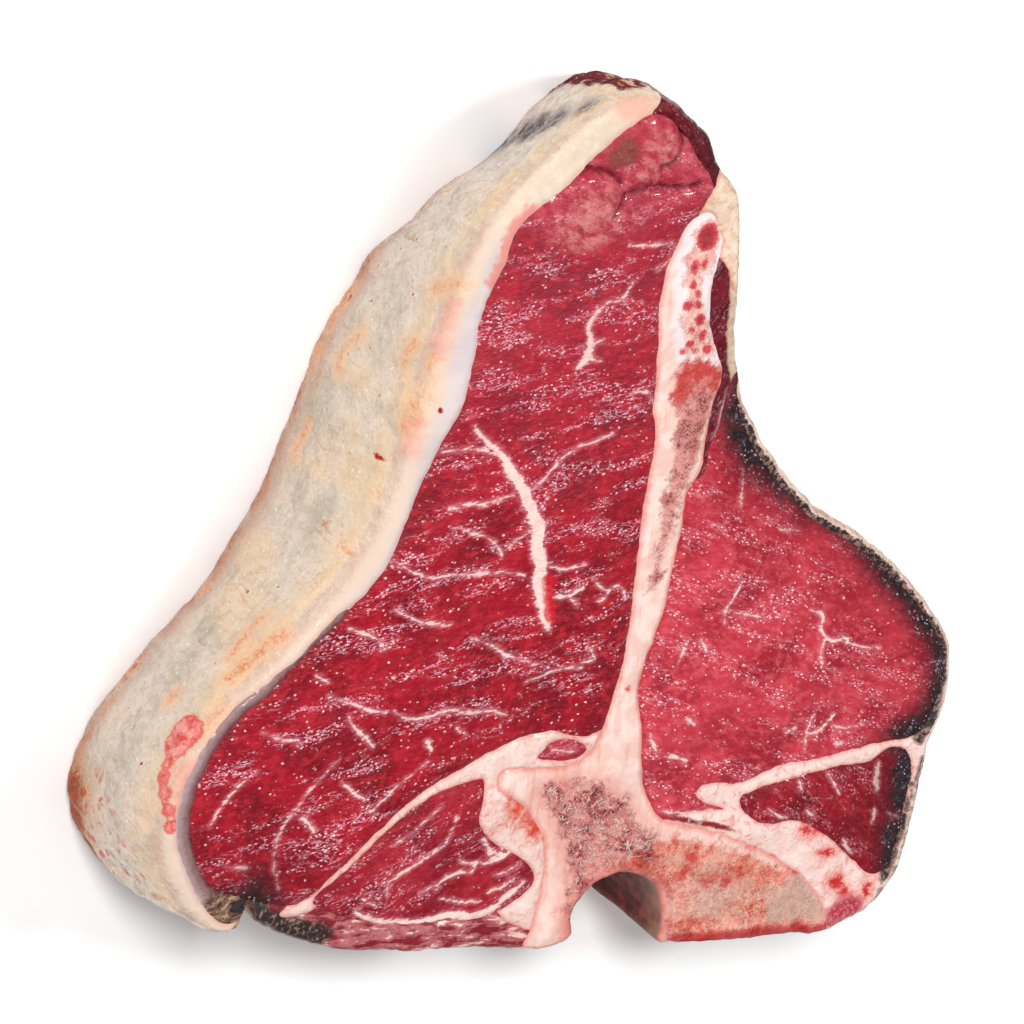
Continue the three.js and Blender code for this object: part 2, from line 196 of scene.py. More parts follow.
def nearest(points, starts, ends):
    """Distance from each point to the nearest of some segments, which one it is, and how far along."""
    along = ends - starts
    length = (along ** 2).sum(1) + 1e-12
    found = []
    for block in np.array_split(points, max(1, len(points) * len(starts) // pairs_at_once)):
        offset = block[:, None] - starts
        share = np.clip((offset * along).sum(2) / length, 0, 1)
        gap = ((offset - share[..., None] * along) ** 2).sum(2)
        which = gap.argmin(1)
        row = np.arange(len(block))
        found.append((np.sqrt(gap[row, which]), which, share[row, which]))
    return [np.concatenate(part) for part in zip(*found)]


def inside(points, starts, ends):
    """Which points lie within closed loops, given as segments in any order."""
    run = ends - starts
    slope = run[:, 0] / np.where(run[:, 1] == 0, 1e-12, run[:, 1])
    result = []
    for block in np.array_split(points, max(1, len(points) * len(starts) // pairs_at_once)):
        x, y = block[:, :1], block[:, 1:]
        crosses = (starts[:, 1] > y) != (ends[:, 1] > y)
        result.append((crosses & (x < starts[:, 0] + (y - starts[:, 1]) * slope)).sum(1) % 2 == 1)
    return np.concatenate(result)


def loop_of(points):
    """The segments of a closed loop."""
    return points, np.roll(points, -1, 0)


def triangulated(points, edges):
    """Triangles over all the points that keep the given edges."""
    pairs = [tuple(map(int, edge)) for edge in edges]
    found = delaunay_2d_cdt([Vector(point) for point in points], pairs, [], 0, 1e-5, False)
    return np.array(found[0]), np.array(found[2])


rim = smooth_curve(rim_knots, seam_step)
rim[:, :2] = ragged(rim[:, :2])
rim_start, rim_end = loop_of(rim[:, :2])


def seams_of_slice():
    """The border of each piece, as segments, where the outlines and the rim cut each other up."""
    curves = {name: ragged(smooth_curve(knots, seam_step)) for name, knots in outlines.items()}
    names = list(curves)
    points, edges = [rim[:, :2]], [(i, (i + 1) % len(rim)) for i in range(len(rim))]
    count = len(rim)
    # An outline cuts the slice up where the rim holds it and no later outline covers it.
    for i, name in enumerate(names):
        curve = curves[name]
        hidden = ~inside(curve, rim_start, rim_end)
        for later in names[i + 1:]:
            hidden |= inside(curve, *loop_of(curves[later]))
        for k in range(len(curve)):
            if not (hidden[k] and hidden[(k + 1) % len(curve)]):
                edges.append((count + k, count + (k + 1) % len(curve)))
        points.append(curve)
        count += len(curve)
    corners, faces = triangulated(np.vstack(points), edges)
    middle = corners[faces].mean(1)
    # A face belongs to the last outline that holds it.
    owner = np.full(len(faces), -1)
    for i, name in enumerate(names):
        owner[inside(middle, *loop_of(curves[name]))] = i
    outside = ~inside(middle, rim_start, rim_end)
    owner[outside] = len(names)
    sides = {}
    for f, face in enumerate(faces):
        for a, b in zip(face, np.roll(face, -1)):
            sides.setdefault((min(a, b), max(a, b)), []).append(f)
    shared = [(edge, pair) for edge, pair in sides.items() if len(pair) == 2]
    # A scrap cut off from its piece goes to the neighbour that it shares most of its border with.
    for _ in range(3):
        root = list(range(len(faces)))

        def find(f):
            while root[f] != f:
                root[f] = root[root[f]]
                f = root[f]
            return f

        for _, (f, g) in shared:
            if owner[f] == owner[g]:
                root[find(f)] = find(g)
        group = np.array([find(f) for f in range(len(faces))])
        area = {}
        corner = corners[faces]
        size = np.abs(np.cross(corner[:, 1] - corner[:, 0], corner[:, 2] - corner[:, 0]))
        for f, g in enumerate(group):
            area[g] = area.get(g, 0) + size[f]
        largest = {}
        for g, value in area.items():
            if value > largest.get(owner[g], (0, 0))[0]:
                largest[owner[g]] = (value, g)
        kept = {g for _, g in largest.values()}
        votes = {}
        for edge, (f, g) in shared:
            for one, other in ((f, g), (g, f)):
                if (group[one] not in kept or owner[one] == -1) and owner[one] != owner[other]:
                    if owner[other] not in (-1, len(names)) and not outside[one]:
                        tally = votes.setdefault(group[one], {})
                        tally[owner[other]] = tally.get(owner[other], 0) + math.dist(*corners[list(edge)])
        for g, tally in votes.items():
            owner[(group == g)] = max(tally, key=tally.get)
    borders = {}
    for i, name in enumerate(names):
        rows = [edge for edge, pair in sides.items() if sum(owner[f] == i for f in pair) == 1]
        ends = corners[np.array(rows)]
        borders[name] = (ends[:, 0], ends[:, 1])
    return borders


borders = seams_of_slice()


def lean_at(plan):
    """How far the lower face lies from the upper one: the saw went through a little askew."""
    weight = 1 / (lean_reach ** 2 + ((plan[:, None] - rim_knots[:, :2]) ** 2).sum(2)) ** 2
    return weight @ rim_knots[:, 2:4] / weight.sum(1)[:, None]


face_swells = [(47, 61, 0.4, 0.5), (-83, 38, 2.1, 0.35), (29, -33, 4.0, 0.25)]  # across, along, turn, rise
tail_folds = [(-2, 83, 7, -1.1), (13, 86, 9, 0.9), (16, 76, 5, -1.2), (2, 73, 8, 0.7)]  # x, y, reach, rise


def face_height(plan):
    """The upper cut face: broad swells, the folded end of the strip loin, and small dents of the cut."""
    x, y = plan.T
    height = np.full(len(plan), thickness)
    for across, along, turn, rise in face_swells:
        height += rise * np.sin(2 * math.pi * (x / across + y / along) + turn)
    for fold_x, fold_y, reach, rise in tail_folds:
        height += rise * np.exp(-((x - fold_x) ** 2 + (y - fold_y) ** 2) / reach ** 2)
    return height + 0.22 * crag(plan, 7.0, seed=5.0) + 0.1 * crag(plan, 2.4, seed=9.0)


def side_swell(plan, z, shoulder):
    """How far the side stands out: the fat cap swells and is lumpy, the rest is nearly straight."""
    spots = np.column_stack([plan, z])
    fat = np.clip((shoulder - firm_shoulder) / (fat_shoulder - firm_shoulder), 0, 1)
    middle = np.sin(math.pi * np.clip(z / thickness, 0, 1))
    lumps = crag(spots, 9.0, seed=2.0) + 0.5 * crag(spots, 4.2, seed=6.0)
    lumps += 0.15 * crag(spots, 2.0, seed=8.0)
    return fat * (fat_bulge * middle + lumps * middle ** 0.5) + (1 - fat) * 0.5 * lumps * middle ** 0.5


def zipped(a, b):
    """Faces between two columns of a wall, each listed from the top down."""
    if len(a) == len(b):
        return [(a[i + 1], b[i + 1], b[i], a[i]) for i in range(len(a) - 1)]
    faces = []
    i = j = 0
    while i < len(a) - 1 or j < len(b) - 1:
        if j == len(b) - 1 or (i < len(a) - 1 and (i + 1) * (len(b) - 1) <= (j + 1) * (len(a) - 1)):
            faces.append((a[i], a[i + 1], b[j]))
            i += 1
        else:
            faces.append((a[i], b[j + 1], b[j]))
            j += 1
    return faces


wall_levels = 34
row_rise = 0.866  # of the step, between the rows of a grid of even triangles
grid_jitter = 0.1  # of the step
line_gap, border_gap = 0.45, 0.3  # shares of the step kept free beside fixed lines and the border
sharp_angle = math.radians(55)
shoulder_turns = (35, 62, 90)  # degrees round a wide shoulder, where rows of points run
crown_reach = 3.5
seam_groove, seam_reach = 0.35, 0.8
vein_rise, vein_stretch = 0.1, 0.6
vein_share, tip_share = 0.6, 0.4  # of a vein's given width halfway along, and of that at its tips
crease_depth, crease_reach = 1.5, 0.9
rim_reach = 1.5
no_line, no_zone, no_mark = 9.0, -99.0, -9.0  # what a field says far from any line, zone or mark


def slab(name, step=0.9, veins=(), creases=(), zones=None, marks=None, crown=0.45, roughness=0.0):
    """One piece of the slice, closed: two finely divided cut faces, and walls along its border.

    A vein or a crease is its width in mm and its knots, each with a third number where its width is its own.
    A mark is x, y and height of its middle, and its reach along and up the side. Fields for the finish are
    stored on the points, all in mm: edge, the way from the seam; fall, the way down from the rim; vein, the
    way from the nearest vein's side; and one for each zone or kind of mark, positive within it.
    """
    # Fixed lines first: the border, the veins and creases, and the edges of the zones.
    starts, ends = borders[name]
    ring, ring_edges = np.unique(np.round(np.vstack([starts, ends]), 6), axis=0, return_inverse=True)
    points, edges = [ring], [np.stack(np.split(ring_edges.ravel(), 2), 1)]
    fixed = [(starts, ends)]
    lines = {"vein": [], "crease": []}
    for kind, drawn in (("vein", veins), ("crease", creases)):
        for width, knots in drawn:
            run = smooth_curve(knots, vein_stretch * step, closed=False)
            share = np.linspace(0, 1, len(run))
            taper = tip_share + (1 - tip_share) * np.sin(math.pi * share)
            wide = run[:, 2] if run.shape[1] > 2 else vein_share * width * taper
            run = ragged(run[:, :2])
            lines[kind].append((run[:-1], run[1:], wide[:-1] / 2, wide[1:] / 2))
            points.append(run)
            first = sum(map(len, points[:-1]))
            edges.append(np.stack([np.arange(len(run) - 1), np.arange(1, len(run))], 1) + first)
            fixed.append((run[:-1], run[1:]))
    loops = {}
    for kind, polygons in (zones or {}).items():
        loops[kind] = [ragged(smooth_curve(polygon, step)) for polygon in polygons]
        for loop in loops[kind]:
            within = inside(loop, starts, ends) & (nearest(loop, starts, ends)[0] > border_gap * step)
            first = sum(map(len, points))
            points.append(loop)
            pairs = np.stack([np.arange(len(loop)), np.roll(np.arange(len(loop)), -1)], 1)
            edges.append(pairs[within[pairs].all(1)] + first)
            fixed.append(tuple(loop[pairs[within[pairs].all(1)]].transpose(1, 0, 2)))
    # A grid of even triangles fills the rest, with rows of points along the rounded rim.
    low, high = ring.min(0), ring.max(0)
    rows = np.arange(low[1], high[1], step * row_rise)
    grid = np.stack(np.meshgrid(np.arange(low[0], high[0], step), rows), -1)
    grid[1::2, :, 0] += step / 2
    grid = grid.reshape(-1, 2)
    grid = grid + np.random.default_rng(7).uniform(-grid_jitter, grid_jitter, grid.shape) * step
    inward = np.stack([-(rim_end - rim_start)[:, 1], (rim_end - rim_start)[:, 0]], 1)
    inward /= np.hypot(*inward.T)[:, None]
    broad = rim[:, 4] > round_shoulder
    for turn in shoulder_turns:
        offset = rim[broad, 4:5] * (1 - math.cos(math.radians(turn)))
        grid = np.vstack([grid, rim[broad, :2] + inward[broad] * offset])
    grid = grid[inside(grid, starts, ends)]
    fixed_start, fixed_end = [np.vstack(part) for part in zip(*fixed)]
    grid = grid[nearest(grid, fixed_start, fixed_end)[0] > line_gap * step]
    plan, faces = triangulated(np.vstack(points + [grid]), np.vstack(edges))
    faces = faces[inside(plan[faces].mean(1), starts, ends)]
    used, faces = np.unique(faces, return_inverse=True)
    plan, faces = plan[used], faces.reshape(-1, 3)
    count = len(plan)

    fields = {"edge": nearest(plan, starts, ends)[0]}
    for kind, drawn in lines.items():
        value = np.full(count, no_line)
        for start, end, wide_start, wide_end in drawn:
            gap, which, share = nearest(plan, start, end)
            value = np.minimum(value, gap - wide_start[which] * (1 - share) - wide_end[which] * share)
        fields[kind] = value
    for kind, drawn in loops.items():
        value = np.full(count, no_zone)
        for loop in drawn:
            side = np.where(inside(plan, *loop_of(loop)), 1, -1)
            value = np.maximum(value, side * nearest(plan, *loop_of(loop))[0])
        fields[kind] = value

    # The upper face, rounded over at the rim, with its relief; the lower one is rounded a little.
    gap, which, share = nearest(plan, rim_start, rim_end)
    shoulder = rim[which, 4] * (1 - share) + np.roll(rim[:, 4], -1)[which] * share
    outward = -inward[which]
    on_rim = gap < 1e-3
    drop = shoulder - np.sqrt(np.maximum(shoulder ** 2 - np.maximum(shoulder - gap, 0) ** 2, 0))
    foot = np.minimum(foot_radius, shoulder / 2)
    rise = foot - np.sqrt(np.maximum(foot ** 2 - np.maximum(foot - gap, 0) ** 2, 0))
    relief = crown * (1 - np.exp(-fields["edge"] / crown_reach))
    relief -= seam_groove * np.exp(-(fields["edge"] / seam_reach) ** 2)
    relief += vein_rise * (fields["vein"] < 0.0)
    relief -= crease_depth * np.exp(-(np.maximum(fields["crease"], 0) / crease_reach) ** 2)
    relief += roughness * crag(plan, 1.3, seed=4.0) * np.clip(fields["edge"] / 2, 0, 1)
    top = face_height(plan) - drop + relief * np.clip(gap / rim_reach, 0, 1)

    # The wall at the rim: a column of points under each one, which swells and leans.
    rim_points = np.flatnonzero(on_rim)
    column = {}
    for i, v in enumerate(rim_points.tolist()):
        first = 2 * count + i * (wall_levels - 1)
        column[v] = [v, *range(first, first + wall_levels - 1), count + v]
    down = np.arange(1, wall_levels) / wall_levels
    wall_z = top[rim_points, None] + (foot - top)[rim_points, None] * down
    of_wall = np.repeat(rim_points, wall_levels - 1)
    plan_all = np.vstack([plan, plan, plan[of_wall]])
    z = np.concatenate([top, rise, wall_z.ravel()])
    for kind, drawn in (marks or {}).items():
        value = np.full(len(z), no_mark)
        for x, y, level, along, tall in drawn:
            apart = np.hypot(np.hypot(plan_all[:, 0] - x, plan_all[:, 1] - y) / along, (z - level) / tall)
            value = np.maximum(value, (1 - apart) * min(along, tall))
        fields[kind] = value
    swell = side_swell(plan[of_wall], wall_z.ravel(), shoulder[of_wall])
    plan_all[2 * count:] += outward[of_wall] * swell[:, None]
    place = plan_all + lean_at(plan_all) * (1 - z / thickness)[:, None] - plan_centre
    fields["fall"] = np.concatenate([-gap, gap + thickness, thickness - wall_z.ravel()])

    # Sides that only one face has are the border, where the walls close the piece.
    sides = np.vstack([faces[:, [0, 1]], faces[:, [1, 2]], faces[:, [2, 0]]])
    keys = np.sort(sides, 1) @ np.array([count, 1])
    single = np.isin(keys, [key for key, times in zip(*np.unique(keys, return_counts=True)) if times == 1])
    polygons = faces.tolist() + (faces[:, ::-1] + count).tolist()
    for a, b in sides[single].tolist():
        polygons += zipped(column.get(a, [a, count + a]), column.get(b, [b, count + b]))

    mesh = bpy.data.meshes.new(name)
    mesh.from_pydata((np.column_stack([place, z]) / 1000).tolist(), [], polygons)
    for kind, value in fields.items():
        if len(value) == count:
            value = np.concatenate([value, value, value[of_wall]])
        layer = mesh.attributes.new(kind, "FLOAT", "POINT")
        layer.data.foreach_set("value", value.astype(np.float32))
    mesh.polygons.foreach_set("use_smooth", [True] * len(mesh.polygons))
    mesh.set_sharp_from_angle(angle=sharp_angle)
    piece = bpy.data.objects.new(name + "_flesh", mesh)
    bpy.context.scene.collection.objects.link(piece)
    return piece


# ----------------------------------------------------------------------------------------------------------
# The bone: half a lumbar vertebra with its rib-like process, sawn through. A hard cream shell lies round red
# spongy bone, and the half of the spinal canal that the saw opened is a smooth notch, dark red with painted
# shade deeper down.


def tint(code):
    """A colour code as linear light."""
    parts = [int(code[i:i + 2], 16) / 255 for i in (1, 3, 5)]
    return tuple(p / 12.92 if p < 0.04045 else ((p + 0.055) / 1.055) ** 2.4 for p in parts) + (1,)


class Paint:
    """A socket of a finish. Sums and products of it add the nodes that they need."""

    def __init__(self, tree, socket=None, colour=None):
        self.tree, self.socket, self.colour = tree, socket, colour

    def node(self, kind, settings=None, sockets=None, output=0):
        """A node of a kind: its settings first, then the values or links of its sockets."""
        made = self.tree.nodes.new(kind)
        for key, value in (settings or {}).items():
            setattr(made, key, value)
        for key, value in (sockets or {}).items():
            if isinstance(value, Paint):
                self.tree.links.new(value.socket, made.inputs[key])
            else:
                made.inputs[key].default_value = value
        return Paint(self.tree, made.outputs[output])

    def math(self, operation, *values):
        return self.node("ShaderNodeMath", {"operation": operation}, dict(enumerate(values)))

    def __add__(self, other):
        return self.math("ADD", self, other)

    def __sub__(self, other):
        return self.math("SUBTRACT", self, other)

    def __rsub__(self, other):
        return self.math("SUBTRACT", other, self)

    def __mul__(self, other):
        return self.math("MULTIPLY", self, other)

    __radd__ = __add__
    __rmul__ = __mul__

    def __abs__(self):
        return self.math("ABSOLUTE", self)

    def most(self, other):
        """The larger of two values."""
        return self.math("MAXIMUM", self, other)

    def ramp(self, low, high, start=0.0, end=1.0):
        """Runs smoothly from start to end as the value goes from low to high."""
        reach = {"Value": self, "From Min": low, "From Max": high, "To Min": start, "To Max": end}
        return self.node("ShaderNodeMapRange", {"interpolation_type": "SMOOTHSTEP"}, reach)

    def field(self, name):
        """One of the fields in mm that slab stores on a piece's points."""
        return self.node("ShaderNodeAttribute", {"attribute_name": name}, output="Fac")

    def spot(self, turn=0.0, stretch=(1, 1, 1)):
        """The place in mm, turned about the vertical and stretched."""
        place = self.node("ShaderNodeTexCoord", output="Object")
        turned = {"Vector": place, "Rotation": (0, 0, -turn)}
        place = self.node("ShaderNodeMapping", {"vector_type": "POINT"}, turned)
        scale = tuple(1000 * s for s in stretch)
        return self.node("ShaderNodeVectorMath", {"operation": "MULTIPLY"}, {0: place, 1: scale})

    def grain(self, place, size, detail=2.0, rough=0.5, swirl=0.0):
        """Noise from 0 to 1 with features of about the given size in mm."""
        look = {"Vector": place, "Scale": 1 / size, "Detail": detail, "Roughness": rough, "Distortion": swirl}
        return self.node("ShaderNodeTexNoise", {"noise_dimensions": "3D"}, look, "Fac")

    def cells(self, place, size, feature="F1"):
        """Distances in a scatter of cells of about the given size in mm."""
        look = {"Vector": place, "Scale": 1 / size}
        return self.node("ShaderNodeTexVoronoi", {"feature": feature}, look, "Distance")

    def over(self, mask, colour, blend="MIX"):
        """This colour, with another laid over it where the mask is 1."""
        colour = tint(colour) if isinstance(colour, str) else colour
        pair = {0: mask, 6: self if self.socket else self.colour, 7: colour}
        return self.node("ShaderNodeMix", {"data_type": "RGBA", "blend_type": blend}, pair, 2)

    def soaked(self, mask, code):
        """This colour, with a stain soaked into it where the mask is 1."""
        return self.over(mask, code, "MULTIPLY")

    def bumps(self, height, reach, strength=1.0):
        """Normals bent by a height field that spans about reach mm."""
        look = {"Height": height, "Distance": reach / 1000, "Strength": strength}
        return self.node("ShaderNodeBump", None, look)


class Finish(Paint):
    """A material for one kind of surface. Even values are set on the shader's own sockets."""

    def __init__(self, name, **even):
        self.material = bpy.data.materials.new(name)
        self.material.use_nodes = True
        super().__init__(self.material.node_tree)
        self.shader = self.tree.nodes["Principled BSDF"]
        for key, value in even.items():
            self.shader.inputs[key.replace("_", " ")].default_value = value

    def plain(self, code):
        """A colour to paint over."""
        return Paint(self.tree, colour=tint(code))

    def wear(self, piece, node, slot, **linked):
        """Links what changes over the surface, and puts the finish on the piece that stands for a node."""
        for key, value in linked.items():
            self.tree.links.new(value.socket, self.shader.inputs[key.replace("_", " ")])
        piece.data.materials.append(self.material)
        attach(piece, "root")
        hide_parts(node)


spongy_process = [
    (34.5, 35.5), (37, 38), (41, 39.5), (46, 38.5), (48, 36.5), (47.2, 31), (46.5, 25), (46.8, 20),
    (46.5, 15), (45.8, 9), (45.4, 3), (46, -3), (45.8, -10), (45.2, -16), (43.8, -16), (43, -10), (42, -2),
    (41.2, 6), (40.2, 13), (38.5, 20), (36.8, 27), (35.2, 31),
]
spongy_tip = [
    (31, 70), (34, 72), (37, 70.4), (37.6, 65), (36.2, 58), (37.5, 53), (40, 49), (43, 45), (46, 40.8),
    (41, 40), (36, 41), (33.5, 45), (32, 52), (30.5, 60), (30.2, 66),
]
spongy_root = [
    (28.5, -67.5), (32, -65.6), (37.4, -65.2), (44.9, -65.8), (52.7, -70.3), (58.7, -75.9), (64.2, -79.5),
    (64.4, -82.6), (58.9, -84.3), (53, -86.4), (49.2, -89.6), (47.8, -95.4), (47.3, -101), (44.5, -97),
    (43.5, -88), (39, -79.5), (33, -72),
]
spongy_body = [
    (60, -82), (66, -78.8), (78, -79.2), (88, -80.8), (97, -83.3), (104, -85.6), (111, -88), (118, -93),
    (126, -100.4), (126, -103.3), (100, -105), (80, -105.8), (76.8, -104), (76.8, -98), (72.5, -92),
    (66, -88.6), (58, -87.2), (54, -86.5),
]
cartilage_wedge = [
    (112, -87), (116, -89.6), (127, -99.4), (120, -100.4), (108.5, -100.3), (106.5, -97), (108, -91.5),
]


def oval(x, y, across, along):
    """Knots of an oval zone."""
    turns = [math.radians(45 * i) for i in range(8)]
    return [(x + across * math.cos(turn), y + along * math.sin(turn)) for turn in turns]


blood_patch = [(34.5, 36), (37, 39.2), (42, 40), (46, 39), (48, 36.5), (47.5, 32.5), (43, 33.5), (37, 30)]
blood_spots = [blood_patch] + [
    oval(x, y, r, 0.7 * r) for x, y, r in (
        (79, -83.6, 1.6), (76, -87.6, 2.2), (85.5, -90, 2.6), (90.5, -90.3, 1.8), (95, -89, 1.2),
        (110, -86.8, 1.4), (96, -81.3, 1.6), (70.5, -78.3, 1.5), (84, -100.8, 1.3), (104, -102.6, 2),
        (118, -102.5, 2.4),
    )
]
marrow_cells = [
    oval(x, y, a, b) for x, y, a, b in (
        (34.2, 68.3, 2.9, 3.3), (32.6, 61.2, 1.2, 1.9), (35.2, 61.8, 0.9, 1.3), (33.2, 57, 1.0, 1.0),
        (35.3, 55.2, 0.9, 1.0), (32.9, 52.2, 1.5, 1.2), (35.9, 52.6, 1.0, 0.8), (37.4, 49.3, 1.6, 1.5),
        (35.6, 46.6, 1.0, 0.8), (39.6, 45.2, 1.3, 1.5), (36.4, 43.2, 1.2, 0.9), (42.2, 42.6, 1.5, 1.0),
        (35, 41.3, 0.9, 0.7), (38.8, 41.6, 1.0, 0.7), (45.2, -40.8, 0.8, 0.8),
    )
]
canal_reach = (17, 16)
canal_zone = [
    (canal_middle[0] + canal_reach[0] * math.cos(turn), canal_middle[1] + canal_reach[1] * math.sin(turn))
    for turn in (math.radians(i * 30) for i in range(12))
]

t_bone = slab(
    "t_bone", 0.8, crown=0.25, roughness=0.22,
    zones={"process": [spongy_process], "tip": [spongy_tip], "root": [spongy_root], "body": [spongy_body],
           "cartilage": [cartilage_wedge], "blood": blood_spots, "marrow": marrow_cells,
           "canal": [canal_zone]},
)
bone = Finish("sawn_bone", Coat_Roughness=0.12, Specular_IOR_Level=0.35)
at = bone.spot()
edge, fall = bone.field("edge"), bone.field("fall")
cloud = bone.grain(at, 5.0, 3)
speck = bone.grain(at, 0.8, 3, 0.6)
smear = bone.grain(bone.spot(0.15, (0.9, 0.12, 0.1)), 1.6, 3)
colour = bone.plain("#DDB7AB").over(cloud.ramp(0.4, 0.62), "#E5CAC0")
colour = colour.soaked(smear.ramp(0.52, 0.7) * 0.4, "#E8BCB2")
colour = colour.soaked((edge + speck * 1.6).ramp(2.4, 0.5) * 0.8, "#EE9C94")
wobble = (bone.grain(at, 1.5, 4, 0.65) - 0.5) * 5.0 + (cloud - 0.5) * 7
lattice = bone.cells(bone.spot(0.4, (1, 1, 0.25)), 0.9, "DISTANCE_TO_EDGE")
pores = lattice.ramp(0.02, 0.22) * bone.grain(at, 2.2, 4, 0.7).ramp(0.44, 0.62)
curl = bone.grain(bone.spot(-0.6, (0.8, 1, 0.3)), 2.3, 3, 0.5, 1.6) - 0.5
curl = abs(curl).ramp(0.04, 0.01)
strokes = [
    bone.grain(bone.spot(turn, (0.3, 1.2, 0.3)), 0.65, 2, 0.5, 0.4).ramp(0.58, 0.65)
    for turn in (0.3, 1.2, 2.3)
]
fibre = strokes[0].most(strokes[1]).most(strokes[2])
colour = colour.over((bone.field("tip") + wobble * 0.3).ramp(-4.5, -1), "#DCD0D0")
for zone, web, pit, deep in (
    ("process", "#D49088", "#8E2C32", 0.75), ("tip", "#ECBFB4", "#CC6258", 0.5),
    ("root", "#E2B4AA", "#B4606A", 0.3), ("body", "#E29E8C", "#B4584A", 0.4),
):
    flesh = bone.plain(web).over(cloud.ramp(0.42, 0.62) * 0.4, pit).over(pores * deep, pit)
    here = (bone.field(zone) + wobble).ramp(-1.0, 1.2)
    spongy = here if zone == "process" else spongy + here
    colour = colour.over(here, flesh)
# Where the saw tore the spongy bone, pale splinters stand in dark marrow.
torn = (bone.field("root") + wobble * 1.5).ramp(-2.5, 2.5)
marrow = bone.grain(bone.spot(-0.5, (0.8, 1.2, 0.3)), 5.0, 4, 0.66, 0.6)
crumbs = bone.grain(bone.spot(-0.5, (0.8, 1.1, 0.3)), 1.3, 4, 0.72, 0.5)
colour = colour.soaked((bone.field("root") + wobble).ramp(-7, 1) * 0.6, "#EC9E98")
patch = marrow.ramp(0.46, 0.6)
colour = colour.soaked(torn * patch * 0.9, "#C46C82")
colour = colour.soaked(torn * patch * crumbs.ramp(0.5, 0.62), "#984868")
colour = colour.soaked(torn * (1 - patch) * crumbs.ramp(0.54, 0.66) * 0.9, "#D0787C")
colour = colour.over(torn * fibre * 0.7, "#E4D0C4")
worm = (bone.field("process") + wobble * 0.5).ramp(0.5, 2) * curl * cloud.ramp(0.42, 0.56)
colour = colour.soaked(worm * 0.8, "#8A3034")
colour = colour.soaked((bone.field("canal") + wobble).ramp(-3, 2) * 0.6, "#EAA49A")
body = (bone.field("body") + wobble).ramp(-0.5, 2)
colour = colour.over(body * (bone.field("body") + cloud * 8).ramp(7, 12) * 0.5, "#C4A492")
wisp = bone.grain(bone.spot(0.3, (0.7, 1, 0.2)), 2.4, 4, 0.72, 1.0)
red = bone.grain(bone.spot(0.3, (0.8, 1, 0.2)), 8.0, 3)
colour = colour.soaked(body * red.ramp(0.36, 0.64) * wisp.ramp(0.3, 0.62), "#F49A80")
colour = colour.soaked(body * wisp.ramp(0.56, 0.7) * red.ramp(0.4, 0.56) * 0.9, "#E4604C")
colour = colour.over(body * fibre * 0.3, "#EBD3C6")
colour = colour.soaked(body * crumbs.ramp(0.6, 0.7) * 0.7, "#C8786A")
colour = colour.over((bone.field("cartilage") + wobble * 0.8).ramp(-1.2, 1.6) * 0.8, "#C2A092")
blood = (bone.field("blood") + wobble * 0.9).ramp(-1.6, 1.4) * wisp.ramp(0.3, 0.56, 0.3, 0.95)
colour = colour.over(blood, "#C23830")
colour = colour.over((bone.field("marrow") + (speck - 0.5) * 1.5).ramp(-0.4, 0.3), "#C8444A")
colour = colour.over((bone.field("marrow") + (speck - 0.5) * 3).ramp(0.4, 1.2) * 0.8, "#93202E")
lower_edge = bone.field("body").ramp(-2, 0) * (fall + speck * 2.4).ramp(-2.4, -0.6) * fall.ramp(7, 2, 0.3, 1)
colour = colour.soaked(lower_edge * bone.field("canal").ramp(1, -3, 0.4, 1), "#D8707A")
wall = (fall + speck).ramp(0.0, 1.6)
canal = bone.field("canal").ramp(-0.5, 0.5)
# The opened canal: a dark red lining, tan near the top and painted darker further down the notch as shade.
canal_lining_and_shade = bone.plain("#4A120C").over(bone.grain(at, 4, 4, 0.6).ramp(0.42, 0.7), "#843428")
canal_lining_and_shade = canal_lining_and_shade.over((fall + cloud * 10).ramp(16, 4) * 0.7, "#A97E66")
canal_lining_and_shade = canal_lining_and_shade.over(bone.grain(bone.spot(0, (1, 1, 0.15)), 1.2, 3).ramp(0.55, 0.7) * 0.5, "#8E2A22")
sawn = bone.plain("#C88C78").over(bone.grain(bone.spot(), 6.0, 5, 0.64).ramp(0.42, 0.6), "#A8604E")
colour = colour.over(wall * (1 - canal) * speck.ramp(0.3, 0.6, 0.4, 0.95), sawn)
colour = colour.over(wall * canal, canal_lining_and_shade)
height = (crumbs * 1.4 + fibre * torn * 0.6 - pores * 0.6) * spongy + speck * 0.25
bone.wear(t_bone, "t_bone", "bone", Base_Color=colour, Roughness=0.4 + speck * 0.2,
          Coat_Weight=cloud.ramp(0.4, 0.7) * (1 - wall * canal) * 0.3, Normal=bone.bumps(height, 0.5, 0.8))
